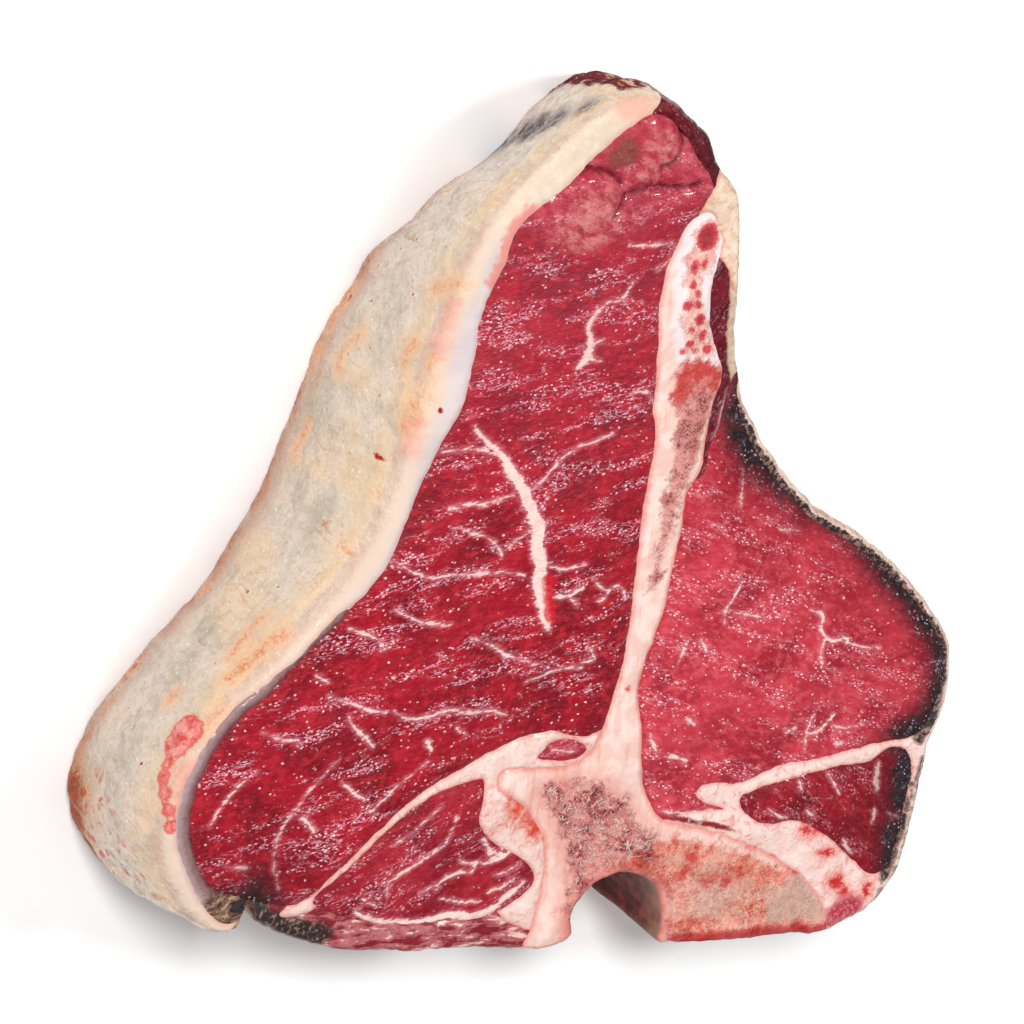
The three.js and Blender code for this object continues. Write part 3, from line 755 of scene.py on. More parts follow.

# ----------------------------------------------------------------------------------------------------------
# The strip loin: the large muscle left of the bone, cut across its fibres. It is deep red and wet, with fine
# flecks of fat and painted glints in rows, branching veins of fat, and a paler, folded end at the top.


def raw_muscle(name, deep, mid, bright, turn, flecks_and_glints=0.8, threads_and_glints=0.6, crust="#141013", grey_flakes_and_glints=0.5):
    """Wet cut muscle: returns the finish and the parts that its own section may paint over."""
    meat = Finish(name, Coat_Roughness=0.06, Specular_IOR_Level=0.16)
    flat = meat.spot(turn, (1, 1, 0.03))
    rows = meat.spot(turn, (0.65, 1, 0.05))
    tone = meat.grain(flat, 15.0, 2)
    mottle = meat.grain(rows, 1.7, 4, 0.62)
    colour = meat.plain(deep).over(tone.ramp(0.36, 0.62), mid)
    colour = colour.over(mottle.ramp(0.44, 0.7) * 0.7, bright)
    colour = colour.over(mottle.ramp(0.42, 0.3) * 0.5, deep)
    # Threads of fat and wet glints lie in rows along the grain, painted into the colour: the glints are
    # painted highlights.
    band = meat.grain(meat.spot(turn, (0.22, 1, 0.05)), 3.4, 3)
    wisp = meat.grain(meat.spot(turn, (0.5, 1.25, 0.05)), 1.5, 3, 0.6, 0.3) - 0.5
    thread_and_glint = abs(wisp).ramp(0.035, 0.006) * band.ramp(0.49, 0.63)
    colour = colour.over(thread_and_glint * threads_and_glints, "#E0A9BC")
    dots = meat.cells(meat.spot(turn, (0.85, 1.1, 0.05)), 1.75)
    small = meat.cells(meat.spot(turn, (0.6, 1.1, 0.05)), 0.85)
    crooked = (meat.grain(rows, 0.5, 2) - 0.5) * 0.5
    large = (dots + crooked).ramp(0.18, 0.08) * meat.grain(flat, 4.5, 3, 0.6).ramp(0.38, 0.6, 0.2, 1.0)
    fleck_and_glint = large.most((small + crooked).ramp(0.28, 0.16) * band.ramp(0.47, 0.6))
    # Pale dots: flecks of fat, and painted glints of wet light.
    colour = colour.over(fleck_and_glint * flecks_and_glints, "#F0D0D2")
    edge, vein = meat.field("edge"), meat.field("vein")
    # Darker within about 3 mm of the seam: painted shade along the joint with the next piece.
    colour = colour.over((edge + mottle * 2).ramp(2.8, 0.6) * 0.35, deep)
    shred = meat.grain(meat.spot(turn, (0.4, 1.3, 0.03)), 0.9, 4, 0.65) - 0.5
    breaks = meat.grain(flat, 3.2, 2) - 0.5
    ragged_vein = vein + shred * 3.0 + breaks * 1.1
    colour = colour.over(ragged_vein.ramp(1.1, 0.0) * 0.4, "#C87A88")
    pith = meat.plain("#E9CDC4").over(mottle.ramp(0.48, 0.66) * 0.5, "#DDA6A4")
    colour = colour.over(ragged_vein.ramp(0.15, -0.25) * vein.ramp(0.5, -0.7, 0.6, 0.97), pith)
    dried = None
    if crust:
        flake = meat.grain(meat.spot(turn, (1, 0.6, 0.1)), 1.3, 4, 0.72, 0.5)
        border = (meat.grain(flat, 3.0, 4, 0.6) - 0.5) * 6
        dried = (meat.field("crust") + border * 1.2).ramp(-2.6, 2.2)
        # The dried crust: near black with grey flakes. Its palest flakes and the pale dots on it are painted
        # glints.
        bark = meat.plain(crust).over(flake.ramp(0.52, 0.64) * grey_flakes_and_glints, "#48424A")
        bark = bark.over(flake.ramp(0.62, 0.7) * grey_flakes_and_glints, "#A49CA6").over(fleck_and_glint * 0.8, "#D0C8D0")
        bark = bark.over(meat.grain(flat, 2.2, 3, 0.6).ramp(0.55, 0.68) * 0.7, "#4A141A")
        colour = colour.over((meat.field("crust") + border).ramp(-22, -2) * 0.35, deep)
        colour = colour.over((meat.field("crust") + border).ramp(-7, 0.2) * 0.75, "#4A0C18")
        colour = colour.over(dried * 0.95, bark)
    # The outside is skinned over: a dry film with scraps of fat.
    film = meat.grain(meat.spot(), 7.0, 4, 0.62, 0.4)
    skinned = (meat.field("fall") + film * 4).ramp(2.0, 3.5)
    dry = meat.plain("#4A1A1E").over(film.ramp(0.4, 0.62), "#702A2C").over(film.ramp(0.6, 0.72), "#A88470")
    colour = colour.over(skinned, dry)
    fine = meat.grain(meat.spot(turn, (0.6, 1, 1)), 0.8, 3, 0.6)
    height = mottle * 0.9 + fine * 0.6 + (meat.field("crust").ramp(-1.5, 2) * flake * 1.6 if crust else 0)
    height = height * (1 - skinned) + film * skinned * 6
    return meat, colour, height, fine, dried


def cut_meat(piece, node, slot, parts):
    """Finishes a muscle: wet in spots, and duller where it has dried."""
    meat, colour, height, fine, dried = parts
    rough = 0.24 + fine * 0.24
    wet = fine.ramp(0.46, 0.64, 0.0, 0.9)
    if dried:
        rough = rough + dried * 0.1
    meat.wear(piece, node, slot, Base_Color=colour, Roughness=rough, Coat_Weight=wet,
              Normal=meat.bumps(height, 0.6, 0.8))


strip_veins = [
    (3, [(-16.2, 19.2, 0.7), (-11.5, 15.8, 1.0), (-6.9, 13.1, 1.4), (-3.8, 10, 2.5), (0, 6.9, 2.6),
         (2.3, 3.8, 3.0), (5.4, 0, 3.2), (7.7, -3.8, 3.3), (8.5, -7.7, 3.4), (10.8, -11.5, 3.2),
         (11.5, -15.4, 3.8), (13.8, -19.2, 3.2), (15.8, -23.1, 2.6), (17.3, -26.5, 1.5)]),
    (0.9, [(-23.1, 11.5), (-16.2, 13.8), (-10, 13.5), (-6.9, 12.9)]),
    (0.9, [(3.1, 6.2), (6.2, 9.2), (10, 14.2), (13.1, 16.5), (17.7, 18.5), (22.3, 20.8)]),
    (1.1, [(-16.9, -0.4), (-13.1, 0.8), (-8.5, 1.5), (-3.8, 3.5), (-1.2, 4.2)]),
    (0.8, [(-15.4, -4.6), (-10, -5.4), (-5.4, -6.5), (-1.9, -8.1), (0, -10.4)]),
    (0.6, [(6.9, -3.1), (3.8, -5), (1.2, -8.1)]),
    (0.9, [(-28.5, -12.7), (-23.8, -15), (-18.5, -16.4), (-11.5, -15.9), (-4.6, -15),
          (1.5, -14.1), (7.7, -14.6)]),
    (1.0, [(13.1, -11.5), (17.7, -12.2), (23.5, -10.8)]),
    (1.5, [(16.9, -19.2), (20.8, -18.8), (23.1, -17.7), (24.6, -15.8)]),
    (0.8, [(21.5, -19.2), (23.8, -20.8)]),
    (0.7, [(-25, -24.6), (-20.8, -26.2), (-14.6, -27.3), (-9.2, -27.3)]),
    (0.9, [(-3.1, -30.4), (2.3, -31.5), (8.5, -33.8), (13.8, -35.4), (18.5, -35.8)]),
    (0.8, [(15.4, -40.4), (20, -38.5), (24.6, -36.9), (30, -35.8)]),
    (1.1, [(-35, -30), (-30.8, -30.8), (-26.9, -32.3), (-24.6, -34.2)]),
    (0.8, [(-35.8, -45.8), (-30.4, -47.3), (-25, -48.7), (-20.4, -49.2)]),
    (1.1, [(-18.1, -48.8), (-14.2, -50.2), (-8.8, -49.6), (-4.2, -48.1), (1.2, -47.9),
          (8.1, -47.5), (13.5, -48.8)]),
    (0.9, [(-40.4, -41.2), (-36.5, -42.7)]),
    (1.0, [(-29.6, -50.4), (-27.3, -53.5), (-24.2, -55.2), (-21.2, -57.7)]),
    (0.7, [(-51.2, -55.2), (-46.5, -56.5), (-41.2, -56.9)]),
    (0.6, [(-1.2, -51.9), (2.7, -53.8)]),
    (1.6, [(-7.3, -55.6), (-5.6, -57.9)]),
    (0.9, [(-27.3, -66.2), (-24.2, -68.5), (-20, -70.2)]),
    (2.2, [(-35.8, -75.2), (-33.1, -76.7), (-31.3, -78.8)]),
    (0.5, [(-29.6, -60.4), (-33.1, -65), (-35.8, -69.6), (-38.5, -75), (-40, -81.2), (-39.2, -88.8)]),
    (0.5, [(-49.6, -65), (-53.5, -68.1), (-56.5, -72.7), (-58.5, -78.1)]),
    (0.5, [(-18.1, -73.5), (-13.5, -68.8), (-8.8, -64.2), (-5, -60.4)]),
    (0.8, [(-51.2, -87.7), (-45.8, -88.1)]),
    (0.8, [(-38.1, -89.6), (-36.5, -93.5)]),
    (0.7, [(12, 64.3), (15, 64.6), (20.4, 65.2), (24.6, 66.2)]),
    (0.7, [(22.3, 58.8), (25.2, 61.9)]),
    (0.9, [(15.8, 55.8, 0.5), (13.5, 51.9, 0.7), (10, 50, 0.7), (8.1, 47.3, 0.8), (7.3, 44.2, 0.9),
           (8.8, 40.4, 1.6), (8.8, 37.3, 2.2), (7.3, 35, 1.0)]),
    (0.8, [(8.8, 39.6), (11.9, 41.9)]),
    (0.8, [(9.6, 37.3), (12.7, 37.3)]),
    (0.8, [(24, 30.5), (28, 30.6), (31, 28.6)]),
    (0.7, [(26, -14), (30.5, -16.5), (34.5, -15.5), (37.5, -18.5)]),
    (0.7, [(29.5, -19.5), (32.5, -16.2)]),
    (0.8, [(30.5, -31), (33, -33.5), (30, -34.5)]),
]
strip_creases = [
    (0.4, [(-5, 79.6), (-1, 79.8), (4.2, 79.2), (6.5, 77.5)]),
    (0.5, [(8.1, 75.4), (11.9, 76.5), (16.5, 78.1), (21.9, 78.5), (27, 80)]),
    (0.3, [(8.1, 75), (7.8, 72), (6.9, 69.2)]),
    (0.3, [(19, 91), (20.5, 88), (19.8, 84.8), (16, 82.8)]),
]
tail_end = [
    (-6, 80), (2, 92), (12, 98), (34, 90), (34, 77), (24, 74), (12, 66), (2, 61), (-12, 62), (-14, 70),
]
cleft_crust = [(-52, -96), (-46, -94), (-43, -91), (-41, -92.5), (-37, -96.5), (-38, -99), (-52, -99)]
olive_patch = [(1, 81), (5, 80.5), (9, 83.5), (8.5, 87), (5, 88), (1.5, 85)]
pale_patches = [
    [(-9, 66), (-4, 61.5), (4, 62.5), (8, 67), (7, 73), (2, 76), (-5, 73)],
    [(9.5, 78), (15, 79.5), (20, 84), (18, 89), (12, 90.5), (9, 85)],
]
fresh_cut = [
    (13.8, -12.5), (16, -15), (17.2, -19), (18.6, -24.5), (17.2, -25.5), (14.6, -19.5), (12.6, -14.5),
]
strip_loin = slab(
    "strip_loin", 0.9, strip_veins, strip_creases, crown=0.6,
    zones={"tail": [tail_end], "crust": [cleft_crust], "olive": [olive_patch], "pale": pale_patches,
           "fresh": [fresh_cut]},
)
strip_parts = raw_muscle("strip_loin_meat", "#74091A", "#980F22", "#B8242F", math.radians(18),
                         flecks_and_glints=0.8, threads_and_glints=0.76, crust="#2A1411", grey_flakes_and_glints=0.15)
meat, colour = strip_parts[:2]
tail = meat.field("tail").ramp(-3, 5)
knots = meat.grain(meat.spot(1.2, (1, 0.6, 0.1)), 2.0, 4, 0.6)
pale = meat.plain("#A63042").over(knots.ramp(0.38, 0.68), "#CC6068")
colour = colour.over(meat.field("tail").ramp(-85, -5) * 0.16, "#B84A5C")
colour = colour.over(tail * 0.6, pale)
colour = colour.over((meat.field("pale") + knots * 4).ramp(0.2, 5.0) * knots.ramp(0.3, 0.7) * 0.75, "#D08480")
colour = colour.over((meat.field("olive") + knots * 6 - 3).ramp(-1, 1.8) * 0.65, "#54381F")
colour = colour.over((meat.field("fresh") + (knots - 0.5) * 3).ramp(-0.6, 0.6) * 0.85, "#BE0E22")
# Dark red along the creases of the folded end: painted shade in the folds.
colour = colour.over((meat.field("crease") + knots).ramp(1.6, 0.3) * 0.75, "#56081A")
height = strip_parts[2] + tail * knots * 3
cut_meat(strip_loin, "strip_loin", "strip_meat", (meat, colour, height, *strip_parts[3:]))

# ----------------------------------------------------------------------------------------------------------
# The fillet: the muscle under the backbone, right of the bone. It is a brighter, finer red than the strip
# loin, and its outer side has dried nearly black.

fillet_veins = [
    (1.0, [(68.5, -12.7), (68.1, -16.5), (66.9, -19.6), (67.7, -23.5)]),
    (0.5, [(66.9, -19.2), (71.2, -20.4), (78.1, -20.8)]),
    (1.4, [(93.1, -18.5), (97.3, -19.2), (98.5, -22.7), (100.8, -25.8)]),
    (1.6, [(100.8, -25.8), (103, -26), (105, -25), (106.9, -24.6)]),
    (0.8, [(100.8, -25.8), (99.6, -28.8), (100.8, -31.9)]),
    (0.6, [(106.5, -25.8), (111.9, -26.5), (117.3, -26.9)]),
    (0.9, [(62.7, -27.7), (65, -30.8)]), (0.7, [(58.8, -28.8), (58.5, -34.2)]),
    (0.9, [(76.5, 1.2), (82.7, 1.2)]), (1.1, [(60.8, 15), (61.9, 11.9), (63.5, 6.2)]),
    (1.1, [(103.5, -45.4), (102.7, -50), (103.5, -54.6)]),
    (1.4, [(110.4, -45.4), (107.7, -48.8), (103.8, -50.8)]),
    (0.5, [(110.8, -48.1), (116.2, -48.5), (120, -47.5)]), (0.8, [(95.4, -50.4), (98.8, -48.8)]),
    (1.8, [(112.8, -52.6), (115.2, -53)]), (0.9, [(54.2, -51.9), (57.3, -55.8)]),
    (1.4, [(61.9, -57.3), (65, -57.8), (68.1, -58.8)]), (0.8, [(64.2, -47.3), (67.3, -48.8)]),
    (1.1, [(64.5, -71.6), (70, -71.9), (82.7, -71.9)]),
]
fillet_crust = [
    (53.5, 36), (52.5, 30), (53.5, 25), (56, 21.5), (59, 18.5), (62, 16), (66, 14.5), (70, 12.5), (74, 10),
    (80, 7.3), (90, 4.8), (98, 1.8), (104, -2.5), (110, -6.8), (116, -11.5), (122, -15.2), (128, -19.5),
    (134, -25), (137.2, -31), (138.6, -37), (137.8, -42), (133.5, -46.5), (130, -50), (142, -52),
    (152, -40), (150, -20), (120, 2), (90, 16), (62, 36), (54, 42),
]
tenderloin = slab("tenderloin", 0.9, fillet_veins, zones={"crust": [fillet_crust]}, crown=0.6)
fillet_parts = raw_muscle("fillet_meat", "#941A2A", "#B83240", "#CE545C", math.radians(-12),
                          flecks_and_glints=0.9, threads_and_glints=0.5, grey_flakes_and_glints=0.7)
cut_meat(tenderloin, "tenderloin", "fillet_meat", fillet_parts)

# ----------------------------------------------------------------------------------------------------------
# The small muscles: the flat one along the backbone, a slip of it in the fat, the side muscle of the fillet,
# the strip outside the bone's tip, and the dried edge of the strip loin. All are darker than the large ones.

chine_veins = [
    (0.9, [(5.8, -74.2), (5.4, -78.1), (3.5, -81.9), (-1.2, -85.8), (-6.5, -89.6),
          (-8.5, -91.2), (-8.1, -93.8)]),
    (0.4, [(-8.8, -81.9), (-3.5, -77.3), (1.9, -71.9)]),
    (1.2, [(1.9, -93.8), (6.5, -91.5), (11.2, -88.8), (15, -88.1), (15.8, -85.8)]),
    (1.0, [(10.4, -85.4), (14, -86), (18.8, -85.8)]), (0.8, [(16, -81), (20, -83.5), (23, -80.5)]),
    (2.2, [(-15, -98.5, 1), (-8.1, -100.6, 1.6), (-1.2, -101.5, 2), (5.8, -100.8, 1.5), (12.7, -99.6, 2.2),
           (19.6, -99.2, 2.2), (24, -97, 2)]),
    (0.8, [(8, -95.5), (13, -96.3), (19, -95.6)]),
    (1.8, [(17.5, -83.5), (20, -84.8), (22.5, -83.8), (24.5, -81.8)]),
    (2.6, [(24, -96.2), (27, -93.8), (29.8, -90.2)]), (1.6, [(20.5, -93.4), (24, -92), (27, -89.4)]),
    (1.0, [(21, -88.8), (24.5, -87.6), (27.5, -85.8)]), (1.0, [(14.8, -79.5), (17.2, -81.2)]),
    (0.7, [(-14, -95), (-10, -96.5)]),
]
chine_muscle = slab("chine_muscle", 0.9, chine_veins)
chine_parts = raw_muscle("chine_meat", "#7A0D1D", "#981A2A", "#AC2A34", math.radians(30),
                         flecks_and_glints=0.6, threads_and_glints=0.5, crust=None)
cut_meat(chine_muscle, "chine_muscle", "trim_meat", chine_parts)

slip_muscle = slab("slip_muscle", 0.8, [(0.5, [(28, -57), (32, -57.6), (36, -57)])])
slip_parts = raw_muscle("slip_meat", "#8A1726", "#A12534", "#B43C46", 0.2, flecks_and_glints=0.5, threads_and_glints=0.4,
                        crust=None)
cut_meat(slip_muscle, "slip_muscle", "trim_meat", slip_parts)

side_veins = [
    (0.8, [(113.1, -60.8), (116.2, -63.8), (118.5, -66.2)]), (1.0, [(108.5, -70), (113.1, -72.7)]),
    (1.8, [(131.5, -70.2), (132.5, -72), (132.7, -73.8)]),
    (1.2, [(123.8, -78.1), (126, -80.5), (128.5, -82.3)]),
    (0.7, [(97, -70.5), (101, -72), (104, -72.6)]), (0.8, [(104, -63), (105, -65)]),
    (1.3, [(136.2, -70.8), (139, -71.8), (142.4, -73)]), (2.4, [(128.6, -57.5), (129.2, -61), (130.6, -65)]),
]
side_crust = [
    [(132.5, -50), (134, -56), (134.5, -62), (136.5, -67.5), (140, -70.5), (148, -70), (148, -50)],
    [(148, -73), (139.5, -73.5), (138, -77), (138.5, -82), (140.5, -88), (146, -90)],
]
psoas_minor = slab("psoas_minor", 0.9, side_veins, zones={"crust": side_crust})
side_parts = raw_muscle("side_meat", "#6E0816", "#8A1121", "#A2262F", math.radians(-30),
                        flecks_and_glints=0.45, threads_and_glints=0.35, crust="#18151A", grey_flakes_and_glints=0.6)
cut_meat(psoas_minor, "psoas_minor", "trim_meat", side_parts)

rib_veins = [
    (0.8, [(51.1, 34), (50.6, 28), (49.9, 22)]), (0.9, [(46.6, 56), (47.4, 52), (48.6, 47.5), (50.5, 42)]),
]
rib_crust = [(49.4, 46), (50.5, 41.5), (52, 37), (54, 34), (58, 44), (52, 50)]
rib_muscle = slab("rib_muscle", 0.8, rib_veins, zones={"crust": [rib_crust]})
rib_parts = raw_muscle("rib_meat", "#4A0714", "#700C1C", "#8C2030", 1.3, flecks_and_glints=0.4, threads_and_glints=0.4)
meat, colour = rib_parts[:2]
scurf = meat.grain(meat.spot(), 1.8, 5, 0.66)
skin = meat.plain("#D4C0AA").over(scurf.ramp(0.36, 0.66), "#BEA084")
colour = colour.over((meat.field("fall") + scurf * 2).ramp(-2.2, -1.2) * 0.85, skin)
cut_meat(rib_muscle, "rib_muscle", "trim_meat", (meat, colour, *rib_parts[2:]))

cap_crust = [(22, 96), (27, 90), (31, 84.5), (38, 84), (34, 98), (22, 104)]
cap_muscle = slab("cap_muscle", 0.8, zones={"crust": [cap_crust]}, roughness=0.35)
cap_parts = raw_muscle("cap_meat", "#4C0612", "#6C0E1C", "#8A222E", -0.7, flecks_and_glints=0.35,
                       threads_and_glints=0.3, crust="#2A1216", grey_flakes_and_glints=0.35)
cut_meat(cap_muscle, "cap_muscle", "trim_meat", cap_parts)

# ----------------------------------------------------------------------------------------------------------
# The fat cap: the deep layer of hard fat under the hide, on the left. The saw left it white; outside it has
# aged grey-cream, lumpy and a little glossy, with yellow and rusty streaks and a few spots of blood.


def trails(*lines):
    """Marks strung along lines on the side, each given by its reach and its stops: x, y and height."""
    marks = []
    for wide, *stops in lines:
        for start, end in zip(stops, stops[1:]):
            parts = max(2, round(math.dist(start, end) / wide))
            along = [np.add(start, np.subtract(end, start) * i / parts) for i in range(parts + 1)]
            marks += [(*place, wide, wide) for place in along]
    return marks


fat_cap = slab("fat_cap", 0.9, crown=0.15, marks={
    "blood": [
        (-31.5, 7.6, 37.5, 1.1, 3.0), (-25.7, 21.9, 46, 0.9, 1.5), (-27.3, 53.6, 21, 0.8, 0.8),
        (-29.8, 36.3, 5, 1.0, 1.2), (-29.7, 39.7, 46, 0.8, 1.2), (-68.7, -82.5, 28.5, 0.9, 0.9),
        (-68.8, -80.2, 32.5, 0.8, 0.8), (-68.7, -82.3, 37.5, 0.7, 0.8), (-66, -88, 39, 0.8, 1.2),
        (-64.7, -90.1, 31.5, 0.7, 0.9), (-66.1, -87.9, 26.5, 0.8, 0.8), (-68.7, -82.6, 15, 0.8, 0.8),
        (-51.4, -38.2, 23.5, 0.5, 0.7), (-68.7, -82.5, 46, 1.0, 1.6), (-69, -78, 18, 0.7, 0.7),
        (-66, -88, 20, 0.7, 0.9), (-62, -94, 24, 0.8, 0.7),
    ],
    "rust": [
        (-36.2, -13, 38.5, 1.7, 2.4), (-38.4, -19.7, 14.5, 1.6, 1.6), (-30, 33.3, 1, 4.0, 4.0),
        (-29.9, 34.3, 38.5, 0.8, 4.0), (-30.4, 23.5, 15.5, 1.0, 4.0), (-31.7, 5.1, 10.5, 1.5, 2.0),
        (-49, -34.8, 4.5, 3.0, 3.0), (-52.4, -39.5, 36.5, 3.5, 2.5), (-55.1, -43.2, 39.5, 4.0, 2.0),
        (-63, -54.3, 28, 2.4, 1.8), (-66.4, -62.4, 15.5, 1.2, 1.2), (-63, -54.1, 2.5, 5.0, 3.0),
        (-30.7, 18.8, 43, 3.0, 3.0), (-29.5, 33, 43, 1.5, 6.0), (-22.6, 67.8, 38.5, 0.9, 0.9),
        (-59.5, -98.3, 14, 5.0, 4.0), (-68, -88, 6, 6.0, 6.0),
    ],
    "seep": trails(
        (1.3, (-28.2, 49.6, 43), (-28.7, 47.5, 39)), (1.1, (-29.9, 34.3, 38.5), (-30.2, 30, 37)),
        (1.0, (-30.5, 22, 42.5), (-30.9, 15.6, 42.5)), (0.6, (-30, 31, 44), (-30.3, 25, 44)),
        (0.7, (-30.1, 30.5, 18), (-30.3, 25.3, 14), (-30.6, 20.4, 16)),
        (1.2, (-30.5, 21.6, 3.5), (-30.7, 17.5, 3)), (0.9, (-31.6, 7, 11), (-32, -2, 10)),
        (0.9, (-48, -33.3, 33), (-51.2, -37.9, 32), (-54.7, -42.6, 34)),
        (1.5, (-48.5, -33.5, 41), (-52, -38.5, 39.5), (-57, -45.5, 39)),
        (1.2, (-61, -51, 43), (-63.5, -55, 43)), (1.0, (-62.6, -53.6, 28), (-63.2, -54.6, 27.5)),
        (1.6, (-29.9, 37, 3), (-30.2, 28.5, 3)),
    ),
    "flush": trails(
        (2.2, (-29.5, 45, 45.5), (-29.8, 36, 45.5)), (2.2, (-30.8, 18, 45.8), (-31, 12, 45.6)),
        (2.5, (3, 94, 46), (7, 95, 46)), (2.6, (-66.5, -66, 45), (-65.5, -74, 46)),
    ),
    "stain": [(-68.6, -83, 6, 6.0, 9.0), (-65.5, -88.8, 5, 6.5, 8.5), (-61, -96, 4, 7.0, 7.0),
              (-54, -101.5, 12, 5.0, 4.0)],
    "speckled": [(-67, -86, 14, 15, 20), (-62, -93, 30, 12, 14), (-63, -56, 2, 8, 8)],
    "raw": [(-64.6, -58.4, 39.5, 4.2, 4.2), (-66, -61.6, 39, 3.4, 3.6), (-67.6, -65.3, 40.5, 1.9, 1.9),
            (-68.8, -68.3, 41.5, 1.6, 1.7), (-69.2, -71.3, 43, 1.9, 1.9), (-69, -74.6, 45, 1.7, 1.7),
            (-67.6, -78.1, 46, 1.9, 1.9)],
    "bruise": [(-13.9, 81.6, 2, 6.0, 7.0), (-12, 83.5, 13, 6.0, 8.0), (-10.4, 84.8, 23, 5.0, 7.0),
               (-7.9, 87.2, 31, 4.5, 6.0), (-3, 91.5, 37, 5.0, 4.0)],
    "flank": [(5, 96, 3, 8.0, 12.0), (6, 96.5, 18, 7.0, 13.0), (7.5, 97, 32, 4.5, 8.0)],
    "grey_patch_and_crevice_shade": [(-68.9, -70.5, 21, 1.8, 9.0), (-69, -75.2, 29, 1.5, 6.0), (-53.6, -41.1, 19, 5.0, 5.5),
               (-59.4, -48.8, 24, 4.5, 5.0), (-31, 12, 12, 9.0, 6.0), (-34.5, -9, 28, 6.0, 5.0)],
    "cream": [(-6, 88, 46, 34, 60)],
    "nubs": [(-17.5, 60, 46, 11, 5.0)],
})
fat = Finish("aged_fat", Coat_Roughness=0.12, Coat_IOR=1.35, Specular_IOR_Level=0.04)
at = fat.spot()
edge, fall = fat.field("edge"), fat.field("fall")
cloud = fat.grain(at, 11.0, 4, 0.55)
lump = fat.grain(at, 2.4, 4, 0.6)
crumb = fat.grain(at, 0.9, 3, 0.6)
outside = (fall + (lump - 0.5) * 3 + (cloud - 0.5) * 4).ramp(-2.2, 1.6)
white = fat.plain("#C6B9BB").over(cloud.ramp(0.42, 0.62), "#D0C2BF")
white = white.over((fall + lump * 5).ramp(-4.5, 0.5) * 0.8, "#D4BCA6")
cream = fat.plain("#D2BEA6").over(lump.ramp(0.48, 0.62) * 0.6, "#DCCEBE")
cream = cream.over(crumb.ramp(0.4, 0.3) * 0.5, "#C8A27E")
white = white.over(fat.field("cream").ramp(0, 9) * 0.8, cream)
white = white.soaked((edge + lump * 2).ramp(2.6, 0.5) * 0.6, "#F0BCB4")
cell = fat.cells(at, 1.5, "SMOOTH_F1")
nubs = (fat.field("nubs") + lump).ramp(0.4, 1.2) * (edge + cell * 2.4).ramp(4.4, 2.6) * fall.ramp(-3.2, -4.4)
white = white.over(nubs, "#D48C82")
aged = fat.plain("#BBAA99").over(cloud.ramp(0.36, 0.6), "#CEBDAD")
aged = aged.over(lump.ramp(0.4, 0.62) * 0.3, "#DACCBE")
# Grey-green patches on the side, and painted shade in a crevice near the lower left.
aged = aged.over((fat.field("grey_patch_and_crevice_shade") + (lump - 0.5) * 5).ramp(-0.8, 2.4) * 0.45, "#A89C86")
aged = aged.over(fat.grain(fat.spot(0, (1, 1, 0.6)), 19, 3).ramp(0.52, 0.68) * 0.5, "#DDBB90")
aged = aged.over(crumb.ramp(0.6, 0.72) * 0.7, "#ECE6DE").soaked(crumb.ramp(0.42, 0.32) * 0.5, "#D8C8AE")
drift = fall + (cloud - 0.5) * 16 + (lump - 0.5) * 4
aged = aged.over(drift.ramp(-2, 5) * drift.ramp(16, 5) * cloud.ramp(0.3, 0.55) * 0.6, "#DEBA8E")
rust = fat.grain(fat.spot(0.9, (1, 0.6, 0.35)), 5, 4, 0.72, 1.0)
streak = fat.grain(fat.spot(0.0, (1, 1, 0.3)), 2.2, 3, 0.7, 1.5)
vessel = abs(rust - 0.5).ramp(0.03, 0.0) * cloud.ramp(0.5, 0.64)
aged = aged.soaked(vessel * 0.35, "#DC9468").soaked(rust.ramp(0.61, 0.74) * 0.7, "#F0AC80")
aged = aged.over((fall + lump * 12 + crumb * 12).ramp(46, 57) * cloud.ramp(0.36, 0.56, 0.3, 0.9), "#B0653E")
aged = aged.soaked(fat.cells(at, 3.6).ramp(0.16, 0.07) * cloud.ramp(0.5, 0.6), "#C8603C")
bruise = fat.field("bruise") + (cloud - 0.5) * 10 + (lump - 0.5) * 6 + (crumb - 0.5) * 3
aged = aged.soaked(bruise.ramp(-2.0, 3.0), "#5A4450")
shreds = fat.grain(fat.spot(0.4, (1, 1, 0.7)), 4.0, 4, 0.66, 0.3)
sinew = fat.plain("#4A1216").over(shreds.ramp(0.4, 0.52), "#702428").over(shreds.ramp(0.54, 0.62), "#C8A08A")
aged = aged.over((fat.field("flank") + (shreds - 0.5) * 9).ramp(-0.6, 1.0), sinew)
colour = white.over(outside, aged)
rusty = fat.field("rust") + (lump - 0.5) * 5
colour = colour.over((rusty + (streak - 0.5) * 6).ramp(-1.2, 2.4) * 0.6, "#DCAE86")
colour = colour.over(rusty.ramp(-0.6, 1.4) * streak.ramp(0.46, 0.6) * 0.7, "#CC7C54")
seep = fat.field("seep") + (lump - 0.5) * 4 + (crumb - 0.5) * 3
colour = colour.over((seep + (cloud - 0.5) * 5).ramp(-4.0, 0.8) * 0.7, "#DEB088")
colour = colour.over((fat.field("flush") + (lump - 0.5) * 5).ramp(-2.5, 1.5) * 0.6, "#DC9080")
colour = colour.over(seep.ramp(-0.7, 1.6) * crumb.ramp(0.36, 0.6, 0.1, 0.85), "#CC6C3C")
stain = fat.field("stain") + (lump - 0.5) * 7 + (crumb - 0.5) * 9
colour = colour.over(stain.ramp(-6, 1.4) * 0.75, "#BE8A60").over(stain.ramp(-0.4, 4.0) * 0.9, "#8E3A1C")
fleck = fat.field("speckled").ramp(0, 6) * (fat.cells(at, 3.4) + (crumb - 0.5) * 0.5).ramp(0.42, 0.24)
fleck = fleck * lump.ramp(0.38, 0.5)
colour = colour.over(fleck * 0.85, "#B84A30")
raw = fat.field("raw") + (lump - 0.5) * 2.4 + (crumb - 0.5) * 1.2
